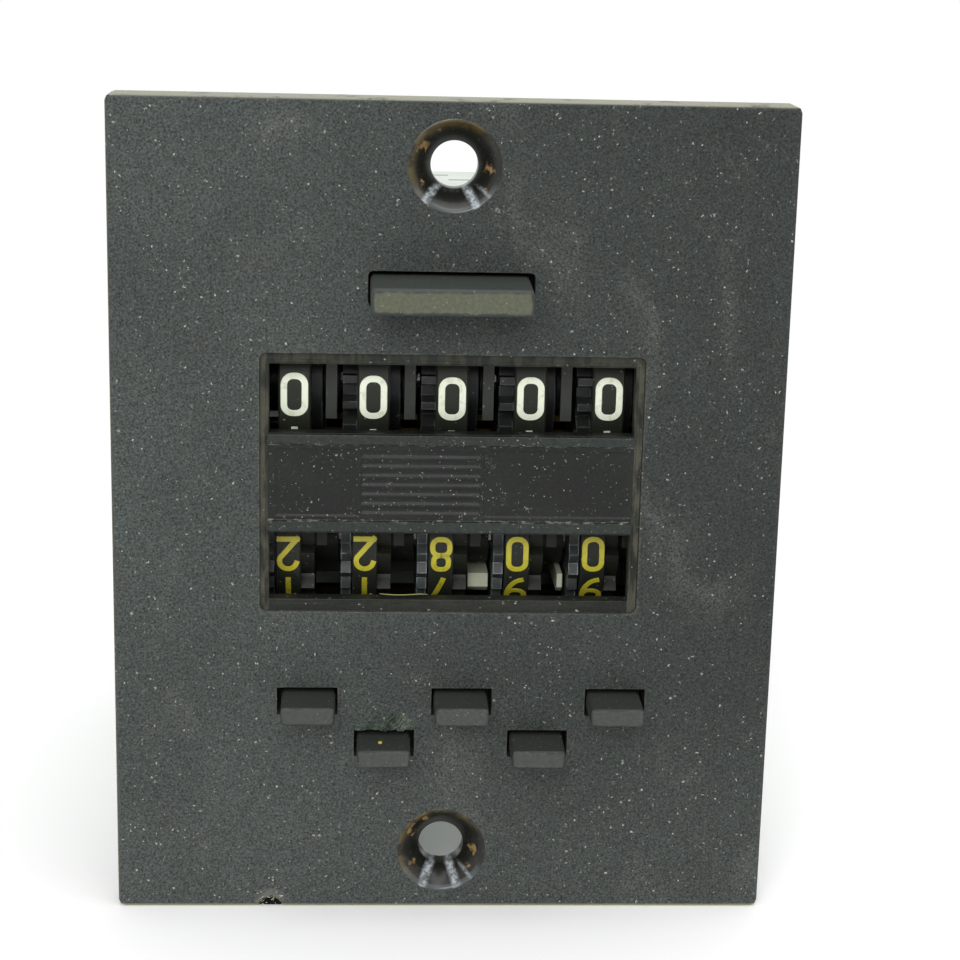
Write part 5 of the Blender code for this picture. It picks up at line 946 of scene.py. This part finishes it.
class COUNTER_OT_plate(PieceOperator, bpy.types.Operator):
    """Make the worn front plate, its screw seats and what has settled on it"""
    bl_idname = "counter.plate"
    bl_label = "Plate"

    def make(self, settings):
        plate = add_piece("plate_finish", merged_mesh("front_plate"), [MATERIALS["plate"]], "counter_frame",
                          ("front_plate",))
        round_edges(plate, settings.plate_edge / MM, 2)
        self.screw_seats()
        self.crust()
        self.torn_edge()

    def screw_seats(self):
        """Smooth liners of the two countersunk holes: a profile carried round an axis along the depth."""
        seats = Surfaces()
        angle = np.linspace(0.0, TAU, 96, endpoint=False)[:, None]
        profile = np.array([(4.14, 0.03), (4.06, -0.02), (3.94, -0.015), (3.80, 0.09), (2.12, 1.77),
                            (2.08, 1.90), (2.08, 3.40), (2.2, 3.45), (2.32, 3.40), (2.40, 1.98),
                            (4.10, 0.20)])
        for height in (HOLE_HEIGHT, -HOLE_HEIGHT):
            radius, depth = profile[None, :, 0], profile[None, :, 1]
            seats.add(placed(radius * np.cos(angle), depth, height + radius * np.sin(angle)), 0, True, True)
        add_piece("screw_seats", seats.mesh("screw_seats"), [MATERIALS["seat"]], "counter_frame")

    def crust(self):
        """Dried residue above the second preset key: a low lumpy mound over a grid.

        The height is a product of two bells, roughened by summed waves of several lengths."""
        mound = Surfaces()
        for x_middle, height, half_x, half_h, rise in ((-4.35, -19.10, 1.25, 0.82, 0.55),
                                                      (-6.0, -19.58, 2.0, 0.36, 0.34),
                                                      (-3.3, -19.3, 0.9, 0.5, 0.16)):
            u, v = np.meshgrid(np.linspace(-1, 1, 48), np.linspace(-1, 1, 24), indexing="ij")
            bell = np.clip(1 - u ** 2, 0, 1) ** 0.5 * np.clip(1 - v ** 2, 0, 1) ** 0.5
            lumps = 0.6 + 0.25 * np.sin(9 * u + 3 * v) + 0.2 * np.sin(17 * u - 11 * v + 1) \
                + 0.12 * np.sin(31 * u + 23 * v)
            top = placed(x_middle + half_x * u * (1 + 0.1 * np.sin(7 * v)), 0.05 - rise * bell * lumps,
                         height + half_h * v * (1 + 0.25 * np.sin(5 * u)))
            bottom = placed(x_middle + half_x * u, 0.10 + 0.0 * u, height + half_h * v)
            mound.add(top)
            mound.add(bottom)
        add_piece("dried_residue", mound.mesh("dried_residue"), [MATERIALS["crust"]], "counter_frame")

    def torn_edge(self):
        """Chip in the bottom edge: a rough bowl behind it, and torn fibres as short bent threads.

        The bowl's depth is greatest in its middle, roughened by summed waves of several lengths."""
        hollow = Surfaces()
        u, v = np.meshgrid(np.linspace(-1, 1, 40), np.linspace(-1, 1, 28), indexing="ij")
        bell = np.clip(1 - u ** 2, 0, 1) * np.clip(1 - v ** 2, 0, 1)
        rough = 0.10 * np.sin(11 * u + 5 * v) + 0.08 * np.sin(19 * u - 13 * v) + 0.05 * np.sin(37 * v)
        across, up = -15.9 + 1.65 * u, -36.82 + 0.62 * v
        hollow.add(placed(across, 0.30 + 0.9 * bell + rough * (bell + 0.15), up))
        hollow.add(placed(across, 1.9 + 0.0 * u, up))
        add_piece("chip_hollow", hollow.mesh("chip_hollow"), [MATERIALS["hollow"]], "counter_frame")
        burr = Surfaces()
        random = np.random.default_rng(7)
        for number in range(44):
            start = np.array((-15.9 + random.uniform(-1.35, 1.35), random.uniform(-0.05, 0.7),
                              -37.0 + random.uniform(-0.3, 0.85)))
            bend = random.uniform(-1.0, 1.0, 3) * (0.55, 0.20, 0.35)
            points = [start, start + bend * 0.5 + (0, -0.12, 0.05), start + bend]
            for point in points:
                point[2] = max(point[2], -37.40)
            tube(burr, *points, random.uniform(0.018, 0.036))
        add_piece("torn_edge", burr.mesh("torn_edge"), [MATERIALS["fibre"]], "counter_frame")


def tube(surfaces, first, bend, last, radius, steps=10, sides=6, material=0):
    """Round thread along a quadratic curve through three points, closed to a point at both ends."""
    t = np.linspace(0.0, 1.0, steps)[:, None]
    line = (1 - t) ** 2 * first + 2 * t * (1 - t) * bend + t ** 2 * last
    along = np.gradient(line, axis=0)
    along /= np.linalg.norm(along, axis=1)[:, None] + 1e-12
    helper = np.where(np.abs(along[:, [1]]) > 0.9, np.array([[1.0, 0.0, 0.0]]), np.array([[0.0, 1.0, 0.0]]))
    side = np.cross(along, helper)
    side /= np.linalg.norm(side, axis=1)[:, None]
    other = np.cross(along, side)
    angle = np.linspace(0.0, TAU, sides, endpoint=False)
    thin = radius * np.clip(np.sin(np.pi * (0.04 + 0.92 * t)), 0, 1) ** 0.3
    thin[0] = thin[-1] = 0.0
    ring = (line[:, None, :] + thin[:, None, :] * (side[:, None, :] * np.cos(angle)[None, :, None]
                                                   + other[:, None, :] * np.sin(angle)[None, :, None]))
    surfaces.add(placed(ring[..., 0], ring[..., 1], ring[..., 2]), material, False, True)


class COUNTER_OT_window(PieceOperator, bpy.types.Operator):
    """Make the window's insert: its border and the grooved bar between the two rows"""
    bl_idname = "counter.window"
    bl_label = "Window insert"

    def make(self, settings):
        low, high = node_span("window_frame")
        self.border(low, high)
        self.bar(low, high)
        thread = Surfaces()
        tube(thread, np.array((-6.1, 1.2, -7.15)), np.array((-4.4, 0.9, -7.32)),
             np.array((-2.2, 1.1, -7.10)), 0.05, 24, 8)
        tube(thread, np.array((-3.0, 1.0, -7.2)), np.array((-2.4, 0.8, -7.0)),
             np.array((-1.6, 1.1, -7.18)), 0.035, 16, 8)
        add_piece("stray_thread", thread.mesh("stray_thread"), [MATERIALS["thread"]], "counter_frame")

    def border(self, low, high):
        """Stepped border: a profile of inset and depth carried round the window's oblong."""
        rim = Surfaces()
        profile = [(-0.30, 0.46), (0.02, 0.50), (0.12, 0.50), (0.50, 0.50), (0.56, 0.58), (0.84, 0.58),
                   (0.90, 0.52), (0.97, 0.54), (1.00, 0.66), (1.00, high[1]), (-0.30, high[1])]
        loops = []
        for share, depth in profile:
            half_x, half_h = (high[0] - low[0]) / 2 - share * 0.60, (high[2] - low[2]) / 2 - share * 0.85
            loop = rounded_loop(half_x, half_h, 0.12, ((low[0] + high[0]) / 2, (low[2] + high[2]) / 2), 6)
            loops.append(placed(loop[:, 0], depth, loop[:, 1]))
        rim.add(np.stack(loops), 0, True, True)
        piece = add_piece("window_border", rim.mesh("window_border"), [MATERIALS["recess"]],
                          "counter_frame", ("window_frame",), angle=20.0)
        return piece

    def bar(self, low, high):
        """Bar between the rows: a sheet over (across, height) whose depth is a sum of steps.

        Each strip, groove and pad is the product of smooth steps along x and along the height."""
        bar_low, bar_high = -1.25, 7.93
        x = np.unique(np.concatenate([np.linspace(low[0] + 0.5, high[0] - 0.5, 160),
                                      np.linspace(-8.0, -7.7, 7), np.linspace(2.7, 3.0, 7)]))
        h = np.linspace(bar_low, bar_high, 231)
        across, up = np.meshgrid(x, h, indexing="ij")

        def step(value, edge, width=0.06):
            return 1.0 / (1.0 + np.exp(-np.clip((value - edge) / (width / 4), -60, 60)))

        def band(value, first, last, width=0.06):
            return step(value, first, width) * (1.0 - step(value, last, width))

        depth = np.full(across.shape, 0.50)
        depth -= 0.24 * (band(up, 6.95, 7.84) + band(up, -1.12, -0.12))
        for number in range(7):
            middle = 0.46 + (number + 0.5) * (6.52 - 0.46) / 7
            depth += 0.13 * band(up, middle - 0.24, middle + 0.24, 0.22) * band(across, -7.85, 2.85, 0.14)
        for first, last in ((-15.5, -8.24), (3.1, 16.4)):
            depth += 0.10 * band(across, first, last, 0.12) * band(up, 0.35, 6.45, 0.12)
        depth += 0.02 * np.sin(across * 1.3) * np.sin(up * 0.9)
        front = placed(across, depth, up)
        rear = placed(across, np.full(across.shape, high[1]), up)
        sheet = Surfaces()
        sheet.add(front)
        sheet.add(rear)
        for pick in ((slice(None), 0), (slice(None), -1), (0, slice(None)), (-1, slice(None))):
            sheet.add(np.stack([front[pick], rear[pick]]))
        add_piece("window_bar", sheet.mesh("window_bar"), [MATERIALS["bar"]], "counter_frame")


class COUNTER_OT_keys(PieceOperator, bpy.types.Operator):
    """Make the caps of the reset key and the five preset keys, and their stems"""
    bl_idname = "counter.keys"
    bl_label = "Keys"

    def make(self, settings):
        self.key("reset_key", "reset_key_and_rake", True)
        for number in range(1, WHEELS + 1):
            self.key(f"preset_key_{number}", f"preset_key_{number}", False)
        self.spot()
        for number in range(1, WHEELS + 1):
            self.springs(f"preset_spring_{number}", f"preset_key_{number}", 1.12, 1.50, 5.7, 6.4)
        self.springs("reset_spring", "reset_key_and_rake", 1.25, 1.64, 6.2, 7.6)

    def spot(self):
        """Yellow spot on the second key: a low dome over turn and radius, with a flat foot."""
        top = (cap_box("preset_key_2")[1][2] - MIDDLE) / MM
        turn, rise = np.meshgrid(np.linspace(0, TAU, 24, endpoint=False), np.linspace(0, 1, 8),
                                 indexing="ij")
        across, depth = -5.85 + 0.22 * rise * np.cos(turn), -2.0 + 0.42 * rise * np.sin(turn)
        spot = Surfaces()
        for height in (top + 0.06 * (1 - rise ** 2), top - 0.03 + 0 * rise):
            spot.add(placed(across, depth, height), 0, True, False)
        add_piece("yellow_spot", spot.mesh("yellow_spot"), [MATERIALS["spot"]], "preset_key_2")

    def springs(self, node, body, inner, outer, front_length, rear_length):
        """Spring in two stages: the narrow one moves with its key and slides inside the wide one."""
        low, high = node_span(node)
        middle = ((low[0] + high[0]) / 2, (low[2] + high[2]) / 2)
        moving, fixed = Surfaces(), Surfaces()
        coil(moving, middle, inner, low[1], low[1] + front_length, 4)
        coil(fixed, middle, outer, high[1] - rear_length, high[1], 4)
        add_piece(f"{node}_inner_stage", moving.mesh(node), [MATERIALS["spring"]], body)
        add_piece(f"{node}_finish", fixed.mesh(node), [MATERIALS["spring"]], "counter_frame",
                  (node,))

    def key(self, node, body, reset):
        """Key: its own stem, flange and cap with rounded edges, and a face made paler as painted light from
        the front.
        """
        piece = add_piece(f"{node}_finish", merged_mesh(node), [MATERIALS[node]], body,
                          (node,))
        round_edges(piece, 0.09, 2)


class COUNTER_OT_count_wheels(PieceOperator, bpy.types.Operator):
    """Make the upper row of wheels with their gears and white digits"""
    bl_idname = "counter.count_wheels"
    bl_label = "Count wheels"

    values = (0, 0, 0, 0, 0)
    middles = (0.0, -1.3, -1.7, -1.0, -0.6)

    def make(self, settings):
        for number in range(1, WHEELS + 1):
            self.wheel(number, settings)

    def wheel(self, number, settings):
        """Rim, gear or drive star, locking disc, heart cam and hub, each carried round the shaft."""
        node = f"count_wheel_{number}"
        low, high = node_span(node)
        axis = ((low[1] + high[1]) / 2, (low[2] + high[2]) / 2)
        left_reach = 1.45 + (2.5 if number == 1 else 1.3)
        middle = low[0] + left_reach
        wheel = Surfaces()
        turned_ring(wheel, disc_profile(-1.45, 1.45, 8.2, 1.45, 0.16), axis, middle, 144, 0)
        if number == 1:
            star = saw_radius(10, 6.5, 5.2, 0.0, 0.5)
            turned_ring(wheel, toothed_profile(-3.95, -2.95, 1.45), axis, middle, 240, 1, star,
                        turn=math.radians(-1.2))
            turned_ring(wheel, disc_profile(-3.0, -1.40, 2.0, 1.45, 0.05), axis, middle, 48, 1)
        else:
            gear = gear_radius(20, 7.5, 6.0, 0.31, 0.50, math.radians(-35.0) + math.pi / 20)
            turned_ring(wheel, toothed_profile(-2.75, -1.40, 1.45), axis, middle, 480, 1, gear)
        turned_ring(wheel, disc_profile(1.40, 2.50, 5.4, 1.45, 0.08), axis, middle, 96, 1)
        heart = heart_radius(2.1, 3.5)
        turned_ring(wheel, toothed_profile(2.75, 3.85, 1.45), axis, middle, 96, 1, heart)
        turned_ring(wheel, disc_profile(2.45, high[0] - middle, 2.0, 1.45, 0.05), axis, middle, 48, 1)
        size = (settings.count_digit_width / MM, settings.count_digit_height / MM)
        for digit in range(10):
            angle = math.radians(self.middles[number - 1] + 36.0 * (self.values[number - 1] - digit))
            wrapped_digit(wheel, digit, size, 0.62, axis, 8.2, middle, angle, 2)
        finishes = [MATERIALS["wheel"], MATERIALS["teeth"], MATERIALS["white"]]
        add_piece(f"{node}_finish", wheel.mesh(node), finishes, node, (node,), 30.0)


def heart_radius(low, high):
    """Radius of a heart cam: it grows evenly with the angle from its notch, on both sides."""
    def radius(angle):
        turn = (angle - math.pi) % TAU
        return low + (high - low) * (1 - np.abs(1 - turn / math.pi))
    return radius


class COUNTER_OT_preset_wheels(PieceOperator, bpy.types.Operator):
    """Make the lower row of wheels with their ratchets, stars and yellow digits"""
    bl_idname = "counter.preset_wheels"
    bl_label = "Preset wheels"

    values = (2, 2, 8, 0, 0)
    middles = (-0.6, 0.0, 0.1, 0.8, 1.4)

    def make(self, settings):
        for number in range(1, WHEELS + 1):
            self.wheel(number, settings)

    def wheel(self, number, settings):
        """Ratchet ring, rim, ten-tooth star and hub, each carried round the shaft."""
        node = f"preset_wheel_{number}"
        low, high = node_span(node)
        axis = ((low[1] + high[1]) / 2, (low[2] + high[2]) / 2)
        middle = low[0] + 0.9 + 0.15 + 1.15
        wheel = Surfaces()
        turned_ring(wheel, disc_profile(-1.15, 1.15, 6.5, 1.45, 0.12), axis, middle, 144, 0)
        turned_ring(wheel, toothed_profile(-2.20, -1.30, 1.45), axis, middle, 400, 1,
                    saw_radius(20, 6.25, 5.6, 0.0, 0.45))
        turned_ring(wheel, disc_profile(-1.35, -1.10, 4.95, 1.45, 0.02), axis, middle, 64, 1)
        turned_ring(wheel, toothed_profile(1.10, 2.40, 1.45), axis, middle, 300, 0,
                    saw_radius(10, 6.3, 5.0, math.pi, 0.15))
        turned_ring(wheel, disc_profile(2.35, high[0] - middle, 2.4, 1.45, 0.05), axis, middle, 48, 0)
        size = (settings.preset_digit_width / MM, settings.preset_digit_height / MM)
        for digit in range(10):
            angle = math.radians(self.middles[number - 1] + 36.0 * (digit - self.values[number - 1]))
            wrapped_digit(wheel, digit, size, 0.52, axis, 6.5, middle, angle, 2, 0.03)
        finishes = [MATERIALS["wheel"], MATERIALS["ratchet"], MATERIALS["yellow"]]
        add_piece(f"{node}_finish", wheel.mesh(node), finishes, node, (node,), 30.0)


class COUNTER_OT_fingers(PieceOperator, bpy.types.Operator):
    """Make the rake, the detent comb and the sensing lever seen between the wheels"""
    bl_idname = "counter.fingers"
    bl_label = "Rake, comb and lever"

    def make(self, settings):
        dressed("reset_rake", MATERIALS["rake"], "reset_key_and_rake", 0.07)
        dressed("detent_comb", MATERIALS["comb"], "counter_frame", 0.07)
        dressed("sensing_lever", MATERIALS["cream"], "sensing_lever", 0.10)


class COUNTER_OT_casing(PieceOperator, bpy.types.Operator):
    """Make the pale cover, its screws and the terminals at the back"""
    bl_idname = "counter.casing"
    bl_label = "Cover and terminals"

    def make(self, settings):
        dressed("rear_cover", MATERIALS["case"], "counter_frame", 0.18, 3)
        dressed("terminal_base", MATERIALS["board"], "counter_frame", 0.15)
        for number in (1, 2):
            dressed(f"cover_screw_{number}", MATERIALS["steel"], "counter_frame", 0.08)
        for number in range(1, 7):
            dressed(f"terminal_blade_{number}", MATERIALS["brass"], "counter_frame", 0.08)


INNER_FINISHES = {
    "steel": ("count_shaft", "preset_shaft", "pinion_shaft", "lever_shaft", "side_frame_left",
              "side_frame_right", "upper_tie_bar", "rear_tie_plate", "yoke", "armature", "coil_core",
              "switch_bracket"),
    "spring": ("armature_spring",),
    "pinion": ("transfer_pinion_1", "transfer_pinion_2", "transfer_pinion_3", "transfer_pinion_4"),
    "copper": ("coil_winding",),
    "board": ("coil_bobbin",),
    "guide": ("key_guide",),
    "comb": ("switch_body",),
    "cream": ("switch_plunger",),
}


class COUNTER_OT_works(PieceOperator, bpy.types.Operator):
    """Give the works inside their metals and plastics"""
    bl_idname = "counter.works"
    bl_label = "Works"

    def make(self, settings):
        for finish, nodes in INNER_FINISHES.items():
            for node in nodes:
                data = frame["nodes"][node].data
                for slot in range(max(1, len(data.materials))):
                    if len(data.materials) <= slot:
                        data.materials.append(MATERIALS[finish])
                    else:
                        data.materials[slot] = MATERIALS[finish]


class COUNTER_OT_stage(PieceOperator, bpy.types.Operator):
    """Make the pale floor, the soft lamps, the white surround and the camera"""
    bl_idname = "counter.stage"
    bl_label = "Stage"

    def make(self, settings):
        self.floor(settings)
        self.world()
        self.lamps()
        self.camera()
        bpy.context.scene.view_settings.view_transform = "Standard"

    def floor(self, settings):
        """Level floor at the object's foot, fading into the white surround and clear from below."""
        reach = 0.9
        x, y = np.meshgrid(np.linspace(-reach, reach, 13), np.linspace(-reach, reach, 13), indexing="ij")
        sheet = Surfaces().add(np.stack([x, y, np.zeros(x.shape)], axis=-1))
        data = sheet.mesh("floor")
        if data.polygons[0].normal.z < 0:
            data.flip_normals()
        floor = bpy.data.objects.new("floor", data)
        bpy.context.scene.collection.objects.link(floor)
        material, tree, surface = new_material("Pale floor")
        place = object_place(tree)
        cloud = noise(tree, place, 2.0, 2.0)
        colour = tuple(settings.floor_colour)
        tree.links.new(mixed(tree, cloud, colour, tuple(c * 0.99 for c in colour)),
                       surface.inputs["Base Color"])
        length = add_node(tree, "ShaderNodeVectorMath", operation="LENGTH")
        tree.links.new(place, length.inputs[0])
        side = tree.nodes.new("ShaderNodeNewGeometry")
        above = math_node(tree, "SUBTRACT", 1.0, side.outputs["Backfacing"])
        near = ramp(tree, length.outputs["Value"], 0.30, 0.07)
        tree.links.new(math_node(tree, "MULTIPLY", near, above), surface.inputs["Alpha"])
        surface.inputs["Roughness"].default_value = 0.75
        surface.inputs["Specular IOR Level"].default_value = 0.2
        data.materials.append(material)

    def world(self):
        """Soft even surround that shows as plain white to the camera, in gloss and through glass."""
        world = bpy.data.worlds.new("Soft surround")
        bpy.context.scene.world = world
        world.use_nodes = True
        tree = world.node_tree
        surround = tree.nodes["Background"]
        path = tree.nodes.new("ShaderNodeLightPath")
        seen = math_node(tree, "MAXIMUM", path.outputs["Is Camera Ray"],
                         math_node(tree, "MAXIMUM", path.outputs["Is Glossy Ray"],
                                   path.outputs["Is Transmission Ray"]))
        strength = math_node(tree, "ADD", 0.58, math_node(tree, "MULTIPLY", seen, 0.42))
        tree.links.new(strength, surround.inputs["Strength"])
        surround.inputs["Color"].default_value = (1.0, 1.0, 1.0, 1.0)

    def lamps(self):
        """Large soft lamps: one above, one in front and a little above the camera."""
        for name, place, aim, size, power in (
                ("Top lamp", (0.10, -0.10, 0.80), (0.0, 0.0, 0.04), 0.70, 3.2),
                ("Front lamp", (-0.15, -0.78, 0.48), (0.0, -0.02, 0.04), 0.45, 4.2)):
            lamp = bpy.data.lights.new(name, "AREA")
            lamp.shape = "SQUARE"
            lamp.size = size
            lamp.energy = power
            item = bpy.data.objects.new(name, lamp)
            bpy.context.scene.collection.objects.link(item)
            item.location = place
            item.rotation_euler = (Vector(aim) - Vector(place)).to_track_quat("-Z", "Y").to_euler()

    def camera(self):
        """Camera at the photograph's viewpoint, from its right, up and back directions."""
        right, up, back = (0.99851, -0.04926, 0.02350), (-0.01048, 0.24941, 0.96835), \
            (-0.05357, -0.96715, 0.24852)
        data = bpy.data.cameras.new("Camera")
        data.lens = 83.36
        data.sensor_width = 36.0
        data.sensor_fit = "HORIZONTAL"
        camera = bpy.data.objects.new("Camera", data)
        bpy.context.scene.collection.objects.link(camera)
        turn = Matrix((right, up, back)).transposed().to_4x4()
        camera.matrix_world = Matrix.Translation((-0.00786, -0.22218, 0.09084)) @ turn
        bpy.context.scene.camera = camera


OPERATORS = (COUNTER_OT_finishes, COUNTER_OT_plate, COUNTER_OT_window, COUNTER_OT_keys,
             COUNTER_OT_count_wheels, COUNTER_OT_preset_wheels, COUNTER_OT_fingers, COUNTER_OT_casing,
             COUNTER_OT_works, COUNTER_OT_stage)


class COUNTER_PT_panel(bpy.types.Panel):
    """Sidebar panel with the settings and one button for each piece"""
    bl_idname = "COUNTER_PT_panel"
    bl_label = "Panel Counter"
    bl_space_type = "VIEW_3D"
    bl_region_type = "UI"
    bl_category = "Counter"

    def draw(self, context):
        settings = context.scene.counter_settings
        for name in settings.bl_rna.properties.keys():
            if name not in ("rna_type", "name"):
                self.layout.prop(settings, name)
        for operator in OPERATORS:
            self.layout.operator(operator.bl_idname)


CLASSES = (CounterSettings, *OPERATORS, COUNTER_PT_panel)


def register():
    for made in CLASSES:
        bpy.utils.register_class(made)
    bpy.types.Scene.counter_settings = bpy.props.PointerProperty(type=CounterSettings)


def unregister():
    del bpy.types.Scene.counter_settings
    for made in reversed(CLASSES):
        bpy.utils.unregister_class(made)


def main():
    """Register and make every piece in order."""
    register()
    bpy.ops.counter.finishes()
    bpy.ops.counter.plate()
    bpy.ops.counter.window()
    bpy.ops.counter.keys()
    bpy.ops.counter.count_wheels()
    bpy.ops.counter.preset_wheels()
    bpy.ops.counter.fingers()
    bpy.ops.counter.casing()
    bpy.ops.counter.works()
    bpy.ops.counter.stage()
    bpy.context.view_layer.update()


if __name__ == "__main__":
    main()
